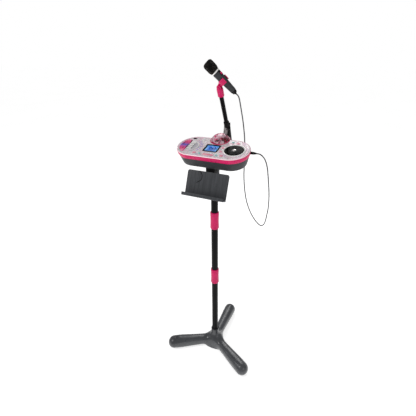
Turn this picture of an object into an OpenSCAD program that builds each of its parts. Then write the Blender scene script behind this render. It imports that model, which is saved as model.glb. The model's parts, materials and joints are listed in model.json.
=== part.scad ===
// A child's karaoke machine on a floor stand, with a small keyboard on its console.
// Origin: on the floor, on the pole's axis. +Z up, -Y towards the child, +X to the child's right.

/* [Stand] */
// Distance from the pole to the middle of each leg's round tip
leg_reach = 196; // [180:1:220]
// Radius of a leg at its tip
leg_tip_r = 28; // [26:0.5:30]
// Radius of a leg where it leaves the hub
leg_root_r = 21; // [19:0.5:23]
// Height of the hub's collar, where the pole comes out
hub_h = 98; // [92:1:104]
// Outer radius of the pole's tubes
pole_r = 13.2; // [12.8:0.1:13.6]
// Height of the middle of the lower coupler
lower_coupler_z = 414; // [380:1:440]
// Height of the middle of the upper coupler
upper_coupler_z = 684; // [650:1:710]
// Length of each coupler
coupler_len = 71; // [60:1:80]
// Outer radius of each coupler
coupler_r = 17; // [16:0.5:18]

/* [Console] */
// Half the distance between the centres of the console's two round ends
console_c = 67; // [66.5:0.5:68]
// Radius of the console's round ends at its top face
console_r = 64; // [63.5:0.5:65]
// Height of the console's top face above the floor, on its middle line
console_z = 969.8; // [969:0.1:971]
// How far the console's middle stands in front of the pole
console_front = 11.5; // [11:0.1:12]
// Tilt of the console towards the child, in degrees
console_tilt = 14.2; // [14:0.1:14.4]
// Height of the pink rim band
band_h = 18; // [17.5:0.5:18.5]
// Depth of the console from its top face to its floor
console_h = 52; // [51.5:0.5:52.5]

/* [Controls] */
// Travel of each key and button
press = 1.8; // [1.2:0.1:1.9]
// Gap round each moving cap
cap_gap = 0.4; // [0.3:0.05:0.5]
// Number of white keys
key_count = 4; // [4:1:4]
// Radius of the turning disc
disc_r = 32.7; // [31:0.1:33]

/* [Microphone] */
// Lean of the boom from upright, in degrees
boom_lean = 27.6; // [27:0.1:28]
// Outer radius of the boom tube
boom_r = 7.5; // [7:0.1:7.6]
// Lean of the microphone from the boom, in degrees
mic_lean = 38.8; // [37:0.1:40]
// Radius of the microphone's grille
grille_r = 17; // [16:0.5:18]
// Diameter of the microphone's cord
cord_d = 4; // [3.5:0.1:4]

/* [Device holder] */
// Width of the holder's back plate
holder_w = 154; // [130:1:160]
// Height of the holder's back plate
holder_h = 86; // [70:1:90]
// Lean of the holder from upright, in degrees
holder_lean = 22.7; // [22:0.1:23.5]
// Depth of the holder's ledge
ledge_depth = 26; // [20:1:28]

/* [Hidden] */
$fn = 48;
eps = 0.02;
fit = 0.05;

// stand
leg_axis_z = leg_tip_r - 2;
leg_root_x = 30;
flare_low = 46;
flare_low_r = 44;
flare_steps = 8;
flare_power = 2.2;
collar_out_r = 18;
pad_r = 9;
pad_h = 3;
socket_floor = 40;
tube_wall = 2.2;
stop_h = 4;
lower_tube_top = lower_coupler_z - stop_h / 2;
middle_tube_top = upper_coupler_z - stop_h / 2;
upper_tube_top = 902;

// console shells, each a stadium with its ends console_c from the middle
wall = 2.5;
floor_h = 3;
band_low_r = console_r - 3;
band_in_r = 58;
panel_seat_r = 60;
panel_r = panel_seat_r - 0.2;
panel_h = 3;
trim_h = 3;
trim_proud = 1;
housing_top_r = console_r - 4.5;
housing_low_r = console_r - 14.5;
board_r = 52;
board_top = -9.5;
board_h = 1.6;
membrane_h = 1.2;
cap_proud = 2.5;
flange_h = 1;
flange_gap = 0.2;
flange_lip = 1;
stem_r = 2;
stem_low = -6.4;

// dome behind the console's rear edge
dome_at = [4, 56];
seat_r = 35.5;
lobe_low_r = 31;
dome_base_r = 34;
dome_rise = 21;
dome_wall = 2;
dome_sphere_r = (dome_base_r * dome_base_r + dome_rise * dome_rise) / (2 * dome_rise);
seat_top = 1.5;
seat_pocket = -14;
ball_r = 13.5;
ball_w = 3;
spindle_r = 1.5;
motor_r = 9;
motor_top = -20;
motor_h = 18;

// screen
screen_at = [-1.8, -5.5];
bezel_size = [52.8, 47.1];
bezel_lip = 1.4;
bezel_top = 1.2;
bezel_low = -5.6;
window_size = [42.6, 36.8];
glass_size = [46.2, 40.2];
glass_top = -0.6;
glass_h = 1.2;

// turning disc
disc_at = [77.6, -3.6];
disc_gap = 0.6;
ring_r = 38;
ring_top = 1.6;
tray_r = 36;
tray_low = -6;
tray_floor = -4;
disc_low = -3.4;
disc_top = 1.2;
post_r = 3;
post_gap = 0.06;
cap_r = 6.6;
cap_h = 2;

// keyboard cluster at the left
bed_at = [-82, -4];
bed_r = 30;
bed_rim = 2.5;
bed_edge = -90;
bed_low = -5;
bed_top = 0.4;
rim_top = 1.8;
key_pitch = 12.6;
key_size = [17.6, 10.8];
key_x = -80;
key_top = 2;
pad_at = [-67, -1];
pad_round = 54;
pad_edge = -92.5;
pad_span = [-44, 34];

// buttons: [place, length, width]; each is a stadium lying along the console
front_pink = [11, 8];
front_teal = [9, 7];
bar_size = [36.5, 6.5];
front_pink_left_at = [-49.3, -44.7];
front_teal_left_at = [-29.8, -46];
front_bar_at = [2.1, -48];
front_teal_right_at = [31.4, -46];
front_pink_right_at = [47.9, -44.7];
side_front_at = [35.6, -20.4];
side_rear_at = [35.6, 4.6];
rear_teal_at = [56.5, 45.5];
rear_pink_at = [75.4, 43.2];
side_size = [9, 8];
slider_at = [-88.6, 46.6];
slider_size = [7, 4.6];
slider_travel = 4.4;

// fasteners
screw_r = 1.5;
screw_head_r = 3;
screw_head_h = 2;
screw_len = 14;
boss_r = 4;
case_screws = [[-100, -18], [-100, 22], [104, -28], [104, 28]];
mount_screws = [[-23, -19], [23, -19], [-23, 17], [23, 17]];
mount_size = [58, 48];
mount_h = 4;
mount_v = -1.3;
socket_r = 18;
socket_low = 868;

// battery compartment and speaker, under the board
door_at = [66, 0];
door_size = [58, 60];
door_h = 2;
cell_r = 7;
cell_len = 50;
cell_pitch = 17;
speaker_at = [-58, 0];
speaker_r = 27;
speaker_h = 14;
slot_size = [34, 3];
slot_pitch = 7;

// jack and plug at the console's right end
jack_at = [8, -8];
jack_r = 5;
jack_in = 114;
jack_out = 131;
pin_r = 1.75;
plug_r = 4.6;
plug_tip_r = 2.8;
plug_end = 150;

// bracket and boom behind the dome; y and z of the tube's foot
boom_foot = [107, 1033];
bracket_w = 23;
collar_r = 10;
sleeve_from = 105;
sleeve_r = 11;
sleeve_body = 23;
sleeve_chamfer = 2.5;
pivot_t = 140;
ear_in = 4;
ear_out = 8.5;
ear_r = 7;
hinge_r = 2.5;
hinge_len = 21;
turn_gap = 0.06;
// the clip stands a quarter turn round the boom, so that the microphone points left
clip_turn = 90;
tongue_half = 3.7;

// microphone, measured along its axis from the middle of the clip
body_tail = -45;
body_head = 33.5;
body_tail_r = 9.4;
body_head_r = 13.6;
body_wall = 2.2;
ring_h = 4;
mic_ring_r = 14.6;
grille_flare = 5;
grille_top = 74;
grille_wall = 1.2;
grille_round = 9;
tail_end = -52;
relief_end = -58;
clip_half = 9;
clip_in_r = 12.7;
clip_out_r = 15.2;
clip_mouth = 80;
pivot_in_mic = [-5, -27.3];
switch_from = 17;
switch_len = 8;
switch_travel = 5;

// device holder: place of the plate's top front edge
holder_at = [-50.3, 896.1];
holder_t = 4;
holder_corner = 8;
ledge_t = 4;
lip_t = 3;
lip_h = 8;
holder_pin = [10, -4];
knuckle_r = 5;
holder_ear_in = 6.3;
holder_ear_out = 10.3;
tongue_w = 12;
bracket_half = 16;
bracket_front = -37.2;
bracket_low = 883;

// route of the microphone's cord: out of the tail, down behind the console, back up to the plug
cord_route = [
    [54.6, 53.4, 1135.5], [59.4, 56.2, 1130.2], [62.3, 60.3, 1122.5], [63.6, 65.5, 1110.8], [67.9, 70, 1083.9],
    [72.4, 76, 1052.6], [76, 82, 1018.4], [78.4, 87, 985.4], [78.6, 91.5, 950.7], [77.9, 95, 916.9],
    [77.8, 98, 881], [77.6, 100, 843.6], [80, 102, 805], [84.7, 104, 767.1], [92.5, 106, 730.1],
    [105.2, 108, 695.2], [121.6, 112, 663.1], [138, 118, 639], [151, 121, 629], [162, 122, 634],
    [169, 120, 652], [174, 115, 683], [179, 107, 717], [182, 95, 750], [184, 81, 783],
    [185, 66, 815], [185, 50, 848], [185, 34, 880], [184, 19, 912], [180, 7, 938],
    [172, 0, 955], [161, -2, 963], [150, -1.8, 964]
];
cord_sides = 8;
cord_steps = 2;

// ---- frames ----

module console_frame() {
    translate([0, -console_front, console_z]) rotate([console_tilt, 0, 0]) children();
}

module boom_frame() {
    translate([0, boom_foot[0], boom_foot[1]]) rotate([boom_lean, 0, 0]) children();
}

// on the boom, with x along the clip's hinge
module clip_frame() {
    boom_frame() rotate([0, 0, -clip_turn]) children();
}

// z along the microphone to its head, y away from the hinge
module mic_frame() {
    clip_frame() translate([0, 0, pivot_t]) rotate([mic_lean, 0, 0])
        translate([0, -pivot_in_mic[1], -pivot_in_mic[0]]) children();
}

module holder_frame() {
    translate([0, holder_at[0], holder_at[1]]) rotate([-holder_lean, 0, 0]) children();
}

// ---- shared shapes ----

// a stadium with its two end circles c from the middle
module stadium(c, r) {
    translate([-c, 0]) circle(r = r);
    translate([c, 0]) circle(r = r);
    translate([-c, -r]) square([2 * c, 2 * r]);
}

module stadium_slab(c, r, low, top) {
    translate([0, 0, low]) linear_extrude(top - low) stadium(c, r);
}

// a stadium slab whose end radius changes from r_low to r_top
module stadium_taper(c, r_low, r_top, low, top) {
    for (side = [-1, 1])
        translate([side * c, 0, low]) cylinder(r1 = r_low, r2 = r_top, h = top - low, $fn = 96);
    translate([-c, 0, low]) rotate([90, 0, 90])
        linear_extrude(2 * c)
            polygon([[-r_low, 0], [r_low, 0], [r_top, top - low], [-r_top, top - low]]);
}

// a block centred on x and y
module slab(size, low, top) {
    translate([-size[0] / 2, -size[1] / 2, low]) cube([size[0], size[1], top - low]);
}

module at(place) {
    translate([place[0], place[1], 0]) children();
}

// a cylinder along x, centred on x = 0
module x_rod(r, length) {
    rotate([0, 90, 0]) cylinder(r = r, h = length, center = true);
}

module tube(r_out, r_in, low, top) {
    translate([0, 0, low]) difference() {
        cylinder(r = r_out, h = top - low);
        translate([0, 0, -1]) cylinder(r = r_in, h = top - low + 2);
    }
}

// outline of a cap, grown by grow all round
module cap_outline(size, grow = 0) {
    stadium((size[0] - size[1]) / 2, size[1] / 2 + grow);
}

// a button: cap above the panel, flange below it, stem down to the rubber sheet
module button(place, size) {
    at(place) {
        translate([0, 0, -panel_h - flange_gap])
            linear_extrude(panel_h + flange_gap + cap_proud) cap_outline(size);
        translate([0, 0, -panel_h - flange_gap - flange_h])
            linear_extrude(flange_h) cap_outline(size, flange_lip);
        translate([0, 0, stem_low]) cylinder(r = stem_r, h = -stem_low - panel_h);
    }
}

module button_hole(place, size) {
    at(place) translate([0, 0, -panel_h - 1]) linear_extrude(panel_h + 2) cap_outline(size, cap_gap);
}

// ---- stand ----

// radius of the hub's concave flare at height z, from the legs up to the collar
function flare_r(z) =
    collar_out_r + (flare_low_r - collar_out_r) * pow(1 - (z - flare_low) / (hub_h - flare_low), flare_power);

module base_legs() {
    for (leg = [0:2]) rotate([0, 0, 90 + 120 * leg]) {
        translate([leg_root_x, 0, leg_axis_z]) rotate([0, 90, 0])
            cylinder(r1 = leg_root_r, r2 = leg_tip_r - 0.4, h = leg_reach - leg_root_x, $fn = 96);
        translate([leg_reach, 0, leg_axis_z]) sphere(r = leg_tip_r, $fn = 96);
    }
}

module base_hub() {
    rotate_extrude($fn = 96) polygon(concat(
        [[0, 0], [flare_low_r, 0]],
        [for (step = [0:flare_steps]) let (z = flare_low + (hub_h - flare_low) * step / flare_steps)
            [flare_r(z), z]],
        [[0, hub_h]]));
}

module base_shell() {
    color("dimgray") difference() {
        union() {
            base_legs();
            base_hub();
        }
        translate([0, 0, -30]) cube([600, 600, 60], center = true);
        translate([0, 0, socket_floor]) cylinder(r = pole_r + fit, h = hub_h);
        foot_places() translate([0, 0, -1]) cylinder(r = pad_r + fit, h = pad_h + 1);
    }
}

module foot_places() {
    for (leg = [0:2]) rotate([0, 0, 90 + 120 * leg]) translate([leg_reach, 0, 0]) children();
}

module foot_pads() {
    color("black") foot_places() cylinder(r = pad_r, h = pad_h);
}

module pole_tube(low, top) {
    color([0.06, 0.06, 0.065]) tube(pole_r, pole_r - tube_wall, low, top);
}

module coupler(middle) {
    color("deeppink") translate([0, 0, middle]) difference() {
        union() {
            cylinder(r = coupler_r, h = coupler_len - 4, center = true);
            cylinder(r = coupler_r - 1, h = coupler_len, center = true);
        }
        translate([0, 0, stop_h / 2]) cylinder(r = pole_r + fit, h = coupler_len);
        translate([0, 0, -stop_h / 2 - coupler_len]) cylinder(r = pole_r + fit, h = coupler_len);
        cylinder(r = pole_r - tube_wall, h = coupler_len, center = true);
    }
}

// everything above the console's underside, lowered by gap
module over_console_floor(gap) {
    console_frame() translate([-200, -200, -console_h - gap]) cube([400, 400, 300]);
}

module console_mount() {
    color("dimgray") difference() {
        union() {
            translate([0, 0, socket_low]) cylinder(r = socket_r, h = 70);
            console_frame() translate([0, mount_v, 0])
                slab(mount_size, -console_h - mount_h, -console_h);
        }
        over_console_floor(0);
        translate([0, 0, socket_low - 1]) cylinder(r = pole_r + fit, h = upper_tube_top - socket_low + 1);
        console_frame() translate([0, mount_v, 0]) for (place = mount_screws)
            at(place) translate([0, 0, -console_h - 10]) cylinder(r = screw_r + fit, h = 20);
    }
}

// ---- console shells ----

module dome_lobe(grow) {
    at(dome_at) translate([0, 0, -console_h])
        cylinder(r1 = lobe_low_r + grow, r2 = seat_r + grow, h = console_h - band_h, $fn = 96);
}

module seat_cut() {
    at(dome_at) translate([0, 0, -band_h - 1]) cylinder(r = seat_r + 0.1, h = band_h + 10, $fn = 96);
}

module screw_bosses() {
    for (place = case_screws) at(place)
        translate([0, 0, -console_h + floor_h - eps]) cylinder(r = boss_r, h = 18);
    translate([0, mount_v, 0]) for (place = mount_screws) at(place)
        translate([0, 0, -console_h + floor_h - eps]) cylinder(r = boss_r, h = 12);
}

module screw_bores() {
    for (place = case_screws) at(place) {
        translate([0, 0, -console_h - 1]) cylinder(r = screw_head_r + 0.2, h = screw_head_h + 1);
        translate([0, 0, -console_h]) cylinder(r = screw_r + fit, h = screw_head_h + screw_len + 0.5);
    }
    translate([0, mount_v, 0]) for (place = mount_screws) at(place)
        translate([0, 0, -console_h - 1]) cylinder(r = screw_r + fit, h = 12);
}

module lower_housing() {
    color([0.25, 0.26, 0.27]) console_frame() difference() {
        union() {
            difference() {
                union() {
                    stadium_taper(console_c, housing_low_r, housing_top_r, -console_h, -band_h);
                    dome_lobe(0);
                }
                stadium_taper(console_c, housing_low_r - wall, housing_top_r - wall,
                    -console_h + floor_h, -band_h + 1);
                at(dome_at) translate([0, 0, -console_h + floor_h])
                    cylinder(r1 = lobe_low_r - wall, r2 = seat_r - wall, h = console_h, $fn = 96);
            }
            screw_bosses();
        }
        screw_bores();
        at(door_at) slab(door_size, -console_h - 1, -console_h + door_h + fit);
        at(door_at) slab([door_size[0] - 4, door_size[1] - 4], -console_h - 1, -console_h + floor_h + 1);
        at(speaker_at) for (row = [-2:2])
            translate([0, row * slot_pitch, 0]) slab(slot_size, -console_h - 1, -console_h + floor_h + 1);
    }
}

module battery_door() {
    color([0.22, 0.23, 0.24]) console_frame() at(door_at)
        slab([door_size[0] - 0.4, door_size[1] - 0.4], -console_h, -console_h + door_h);
}

module batteries() {
    color("goldenrod") console_frame() at(door_at) for (cell = [-1:1])
        translate([cell * cell_pitch, cell_len / 2, -console_h + floor_h + cell_r]) rotate([90, 0, 0]) {
            cylinder(r = cell_r, h = cell_len);
            translate([0, 0, cell_len]) cylinder(r = 2.7, h = 1);
        }
}

module rim_band() {
    color([0.82, 0.13, 0.4]) console_frame() difference() {
        stadium_taper(console_c, band_low_r, console_r, -band_h, -trim_h + trim_proud);
        stadium_slab(console_c, band_in_r, -band_h - 1, 5);
        stadium_slab(console_c, panel_seat_r, -panel_h, 5);
        seat_cut();
        jack_axis() translate([0, 0, -1]) cylinder(r = jack_r + fit, h = 60);
    }
}

module edge_trim() {
    color("mistyrose") console_frame() difference() {
        stadium_slab(console_c, console_r - 0.5, -trim_h + trim_proud, trim_proud);
        stadium_slab(console_c, panel_seat_r, -5, 5);
        seat_cut();
    }
}

module bed_outline(r, edge) {
    intersection() {
        translate(bed_at) circle(r = r, $fn = 96);
        translate([edge, -100]) square([200, 200]);
    }
}

module pad_outline(grow) {
    intersection() {
        translate(pad_at) circle(r = pad_round + grow, $fn = 96);
        translate([pad_edge + grow - 60, pad_span[0] - grow])
            square([60, pad_span[1] - pad_span[0] + 2 * grow]);
    }
}

module button_holes() {
    button_hole(front_pink_left_at, front_pink);
    button_hole(front_teal_left_at, front_teal);
    button_hole(front_bar_at, bar_size);
    button_hole(front_teal_right_at, front_teal);
    button_hole(front_pink_right_at, front_pink);
    button_hole(side_front_at, side_size);
    button_hole(side_rear_at, side_size);
    button_hole(rear_teal_at, front_teal);
    button_hole(rear_pink_at, front_pink);
}

module top_panel() {
    color("silver") console_frame() difference() {
        stadium_slab(console_c, panel_r, -panel_h, 0);
        seat_cut();
        button_holes();
        at(slider_at) translate([0, 0, -5]) linear_extrude(8)
            cap_outline([slider_size[0] + slider_travel, slider_size[1]], cap_gap);
        at(disc_at) translate([0, 0, -5]) cylinder(r = tray_r + fit, h = 8, $fn = 96);
        translate([0, 0, -5]) linear_extrude(8) bed_outline(bed_r - bed_rim + 0.1, bed_edge - 0.1);
        translate([0, 0, -5]) linear_extrude(8) pad_outline(cap_gap);
        at(screen_at) slab(inside_bezel(0.2), -5, 3);
    }
}

// the board's outline, clear of the dome and of the jack
module board_outline() {
    difference() {
        stadium(console_c, board_r);
        translate(dome_at) circle(r = seat_r + 1);
        translate([jack_in - 4, jack_at[0] - jack_r - 2]) square([40, 2 * jack_r + 4]);
    }
}

module main_board() {
    color("darkgreen") console_frame() translate([0, 0, board_top - board_h])
        linear_extrude(board_h) board_outline();
}

module key_membrane() {
    color("whitesmoke") console_frame() translate([0, 0, board_top]) linear_extrude(membrane_h)
        board_outline();
}

module speaker() {
    color("black") console_frame() at(speaker_at) translate([0, 0, -console_h + floor_h]) {
        difference() {
            cylinder(r = speaker_r, h = 3);
            translate([0, 0, -1]) cylinder(r1 = speaker_r - 4, r2 = speaker_r - 8, h = 5);
        }
        translate([0, 0, 3 - eps]) cylinder(r1 = speaker_r - 5, r2 = 14, h = 5);
        translate([0, 0, 8 - 2 * eps]) cylinder(r = 14, h = speaker_h - 8);
    }
}

module screws() {
    color("lightgray") console_frame() {
        for (place = case_screws) at(place) translate([0, 0, -console_h]) {
            cylinder(r = screw_head_r, h = screw_head_h);
            cylinder(r = screw_r, h = screw_head_h + screw_len);
        }
        translate([0, mount_v, 0]) for (place = mount_screws) at(place)
            translate([0, 0, -console_h - mount_h - screw_head_h]) {
                cylinder(r = screw_head_r, h = screw_head_h);
                cylinder(r = screw_r, h = screw_head_h + screw_len);
            }
    }
}

// ---- screen ----

// size of the bezel's body below the panel, with an allowance
function inside_bezel(gap) = [for (side = bezel_size) side - 2 * bezel_lip + gap];

module screen_bezel() {
    color("black") console_frame() at(screen_at) difference() {
        union() {
            slab(bezel_size, 0, bezel_top);
            slab(inside_bezel(0), bezel_low, eps);
        }
        slab(window_size, -10, 5);
        slab([glass_size[0] + 0.2, glass_size[1] + 0.2], -10, glass_top);
    }
}

module screen_window() {
    color([0.6, 0.8, 1, 0.4]) console_frame() at(screen_at) slab(glass_size, glass_top - glass_h, glass_top);
}

module screen_display() {
    color("dodgerblue") console_frame() at(screen_at) slab(glass_size, bezel_low, glass_top - glass_h);
}

// ---- turning disc ----

module disc_tray() {
    color("white") console_frame() at(disc_at) {
        difference() {
            union() {
                translate([0, 0, tray_low]) cylinder(r = tray_r, h = ring_top - tray_low, $fn = 96);
                cylinder(r = ring_r, h = ring_top, $fn = 96);
            }
            translate([0, 0, tray_floor]) cylinder(r = disc_r + disc_gap, h = 10, $fn = 96);
        }
        translate([0, 0, tray_floor - eps]) cylinder(r = post_r, h = disc_top - 0.6 - tray_floor);
    }
}

module disc_platter() {
    color([0.03, 0.03, 0.03]) console_frame() at(disc_at) difference() {
        translate([0, 0, disc_low]) cylinder(r = disc_r, h = disc_top - disc_low, $fn = 96);
        translate([0, 0, disc_low - 1]) cylinder(r = post_r + post_gap, h = 10);
    }
}

module disc_cap() {
    color("silver") console_frame() at(disc_at) translate([0, 0, disc_top]) cylinder(r = cap_r, h = cap_h);
}

// ---- keyboard cluster ----

// v of key number n, with key 1 at the rear
function key_v(n) = bed_at[1] + key_pitch * ((key_count + 1) / 2 - n);

module key_bed() {
    color("gainsboro") console_frame() difference() {
        union() {
            translate([0, 0, bed_low]) linear_extrude(bed_top - bed_low) bed_outline(bed_r - bed_rim, bed_edge);
            difference() {
                linear_extrude(rim_top) bed_outline(bed_r, bed_edge);
                translate([0, 0, bed_top]) linear_extrude(5) bed_outline(bed_r - bed_rim, bed_edge - 1);
            }
        }
        for (n = [1:key_count]) translate([key_x, key_v(n), 0])
            slab([key_size[0] + 2 * cap_gap, key_size[1] + 2 * cap_gap], -10, 5);
    }
}

module white_key(n) {
    color("white") console_frame() translate([key_x, key_v(n), 0]) {
        slab(key_size, bed_low - flange_gap, key_top);
        slab([key_size[0] + 1.6, key_size[1] + 1.4], bed_low - flange_gap - flange_h, bed_low - flange_gap);
    }
}

module fan_pad() {
    color("hotpink") console_frame() {
        translate([0, 0, -panel_h - flange_gap])
            linear_extrude(panel_h + flange_gap + cap_proud) pad_outline(0);
        translate([0, 0, -panel_h - flange_gap - flange_h]) linear_extrude(flange_h) pad_outline(flange_lip);
        for (v = [-25, 15])
            translate([-105, v, stem_low]) cylinder(r = stem_r, h = -stem_low - panel_h - flange_gap);
    }
}

module pink_button(place, size) {
    color("hotpink") console_frame() button(place, size);
}

module teal_button(place, size) {
    color("mediumturquoise") console_frame() button(place, size);
}

module power_slider() {
    color([0.2, 0.2, 0.2]) console_frame() at(slider_at) translate([-slider_travel / 2, 0, 0]) {
        translate([0, 0, -panel_h - flange_gap])
            linear_extrude(panel_h + flange_gap + trim_proud) cap_outline(slider_size);
        translate([0, 0, -panel_h - flange_gap - flange_h]) linear_extrude(flange_h)
            cap_outline(slider_size, 1);
    }
}

// ---- disco dome ----

module dome_seat() {
    color([0.75, 0.12, 0.38]) console_frame() at(dome_at) difference() {
        translate([0, 0, -band_h]) cylinder(r = seat_r, h = band_h + seat_top, $fn = 96);
        translate([0, 0, seat_pocket]) cylinder(r = dome_base_r - 3, h = 30, $fn = 96);
        translate([0, 0, -band_h - 1]) cylinder(r = spindle_r + 1, h = band_h);
    }
}

module dome_lens() {
    color([1, 0.7, 0.8, 0.5]) console_frame() at(dome_at) translate([0, 0, seat_top]) difference() {
        translate([0, 0, dome_rise - dome_sphere_r]) sphere(r = dome_sphere_r, $fn = 96);
        translate([0, 0, dome_rise - dome_sphere_r]) sphere(r = dome_sphere_r - dome_wall, $fn = 96);
        translate([-100, -100, -200]) cube([200, 200, 200]);
    }
}

module disco_ball() {
    color([0.4, 0.05, 0.15]) console_frame() at(dome_at) {
        translate([0, 0, ball_w]) sphere(r = ball_r);
        translate([0, 0, motor_top - 8]) cylinder(r = spindle_r, h = ball_w - motor_top);
    }
}

module ball_motor() {
    color("gray") console_frame() at(dome_at) difference() {
        translate([0, 0, motor_top - motor_h]) cylinder(r = motor_r, h = motor_h);
        translate([0, 0, motor_top - 10]) cylinder(r = spindle_r + post_gap, h = 20);
    }
}

// ---- bracket, boom and clip ----

// side outline of the bracket, as y and z
bracket_side = [
    [70, 936], [70, 956], [88, 962], [99, 989], [110, 1018],
    [119, 1034], [127, 1000], [141, 959], [150, 938], [142, 928], [84, 928]
];

module arm_bracket() {
    color([0.2, 0.2, 0.21]) difference() {
        union() {
            translate([-bracket_w / 2, 0, 0]) rotate([90, 0, 90]) linear_extrude(bracket_w)
                polygon(bracket_side);
            boom_frame() translate([0, 0, -24]) cylinder(r = collar_r, h = 26);
        }
        boom_frame() translate([0, 0, -18]) cylinder(r = boom_r + fit, h = 40);
        console_frame() dome_lobe(fit);
        console_frame() seat_cut();
    }
}

module boom_tube() {
    color([0.05, 0.05, 0.055]) boom_frame() tube(boom_r, boom_r - 1.5, -18, sleeve_from + 20);
}

module clip_sleeve() {
    color("deeppink") clip_frame() difference() {
        union() {
            translate([0, 0, sleeve_from]) cylinder(r = sleeve_r, h = sleeve_body - sleeve_chamfer);
            translate([0, 0, sleeve_from + sleeve_body - sleeve_chamfer])
                cylinder(r1 = sleeve_r, r2 = sleeve_r - sleeve_chamfer, h = sleeve_chamfer);
            for (side = [-1, 1]) translate([side * (ear_in + ear_out) / 2, 0, 0]) {
                translate([0, 0, pivot_t]) x_rod(ear_r, ear_out - ear_in);
                translate([-(ear_out - ear_in) / 2, -ear_r, sleeve_from + sleeve_body - 4])
                    cube([ear_out - ear_in, 2 * ear_r, pivot_t - sleeve_from - sleeve_body + 4]);
            }
        }
        translate([0, 0, sleeve_from - 1]) cylinder(r = boom_r + fit, h = 21);
        translate([0, 0, pivot_t]) x_rod(hinge_r + fit, 40);
    }
}

module hinge_pins() {
    color("silver") {
        clip_frame() translate([0, 0, pivot_t]) x_rod(hinge_r, hinge_len);
        holder_frame() translate([0, holder_pin[0], holder_pin[1]]) x_rod(hinge_r, hinge_len);
    }
}

// side outline of the clip's tongue, as height above the axis and distance along it
tongue_side = [[-13, -8], [-13, 8], [-25.5, 1.2], [-27.3, 0.9], [-27.3, -10.9], [-25.5, -10.7]];

module mic_clip() {
    color("deeppink") mic_frame() difference() {
        union() {
            difference() {
                tube(clip_out_r, clip_in_r, -clip_half, clip_half);
                rotate([0, 0, 90 - clip_mouth / 2]) translate([0, 0, -20]) cube([40, 40, 40]);
                rotate([0, 0, clip_mouth / 2]) translate([0, 0, -20]) cube([40, 40, 40]);
            }
            difference() {
                translate([-tongue_half, 0, 0]) rotate([90, 0, 90])
                    linear_extrude(2 * tongue_half) polygon(tongue_side);
                translate([0, 0, -30]) cylinder(r = clip_in_r, h = 60);
            }
            translate([0, pivot_in_mic[1], pivot_in_mic[0]]) x_rod(ear_r - 1, 2 * tongue_half);
        }
        translate([0, pivot_in_mic[1], pivot_in_mic[0]]) x_rod(hinge_r + turn_gap, 40);
    }
}

// ---- microphone ----

function body_r(s) =
    body_tail_r + (body_head_r - body_tail_r) * (s - body_tail) / (body_head - body_tail);

module mic_body() {
    color([0.22, 0.22, 0.23]) mic_frame() difference() {
        translate([0, 0, body_tail]) difference() {
            cylinder(r1 = body_tail_r, r2 = body_head_r, h = body_head - body_tail);
            translate([0, 0, body_wall])
                cylinder(r1 = body_tail_r - body_wall, r2 = body_head_r - body_wall, h = body_head - body_tail);
        }
        translate([-3.1, 8, switch_from - 0.4]) cube([6.2, 10, switch_len + switch_travel + 0.8]);
    }
}

module mic_switch() {
    color("deeppink") mic_frame() {
        translate([-2.7, 7.8, switch_from]) cube([5.4, 7.4, switch_len]);
        translate([-4, 6.6, switch_from - 1]) cube([8, 1.4, switch_len + 2]);
    }
}

module mic_ring() {
    color("white") mic_frame() tube(mic_ring_r, 10, body_head, body_head + ring_h);
}

// profile of the grille, offset inwards by skin
module grille_profile(skin) {
    r = grille_r - skin;
    top = grille_top - skin;
    round_r = grille_round - skin;
    polygon(concat(
        [[0, body_head + ring_h], [mic_ring_r - 0.6 - skin, body_head + ring_h], [r, body_head + ring_h + grille_flare]],
        [for (a = [0:15:90]) [r - round_r + round_r * cos(a), top - round_r + round_r * sin(a)]],
        [[0, top]]));
}

module mic_grille() {
    color([0.08, 0.08, 0.08]) mic_frame() difference() {
        rotate_extrude() grille_profile(0);
        difference() {
            rotate_extrude() grille_profile(grille_wall);
            cylinder(r = 40, h = body_head + ring_h + 1);
        }
        translate([0, 0, body_head]) cylinder(r = 9, h = 10);
    }
}

module mic_capsule() {
    color("gray") mic_frame() {
        translate([0, 0, body_head + ring_h - 2]) cylinder(r = 4, h = 12);
        translate([0, 0, body_head + ring_h + 10 - eps]) cylinder(r = 8.5, h = 12);
    }
}

module mic_tail() {
    color([0.08, 0.08, 0.08]) mic_frame() {
        translate([0, 0, tail_end]) cylinder(r1 = 7, r2 = body_tail_r, h = body_tail - tail_end);
        translate([0, 0, relief_end]) cylinder(r1 = 2.6, r2 = 4.2, h = tail_end - relief_end + eps);
    }
}

// ---- device holder ----

module holder_bracket() {
    color("black") difference() {
        union() {
            translate([-bracket_half, bracket_front, bracket_low])
                cube([2 * bracket_half, -bracket_front - 8, 40]);
            holder_frame() translate([0, holder_pin[0], holder_pin[1]]) {
                x_rod(knuckle_r, tongue_w);
                translate([-tongue_w / 2, 0, -knuckle_r]) cube([tongue_w, 9, 2 * knuckle_r]);
            }
        }
        over_console_floor(mount_h);
        translate([0, 0, 800]) cylinder(r = socket_r, h = 200);
        holder_frame() translate([0, holder_pin[0], holder_pin[1]]) x_rod(hinge_r, 40);
    }
}

// back plate with rounded top corners
module holder_back() {
    rotate([90, 0, 0]) mirror([0, 0, 1]) linear_extrude(holder_t) {
        for (side = [-1, 1])
            translate([side * (holder_w / 2 - holder_corner), -holder_corner]) circle(r = holder_corner);
        translate([-holder_w / 2 + holder_corner, -holder_corner - 1])
            square([holder_w - 2 * holder_corner, holder_corner + 1]);
        translate([-holder_w / 2, -holder_h - ledge_t]) square([holder_w, holder_h + ledge_t - holder_corner]);
    }
}

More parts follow.
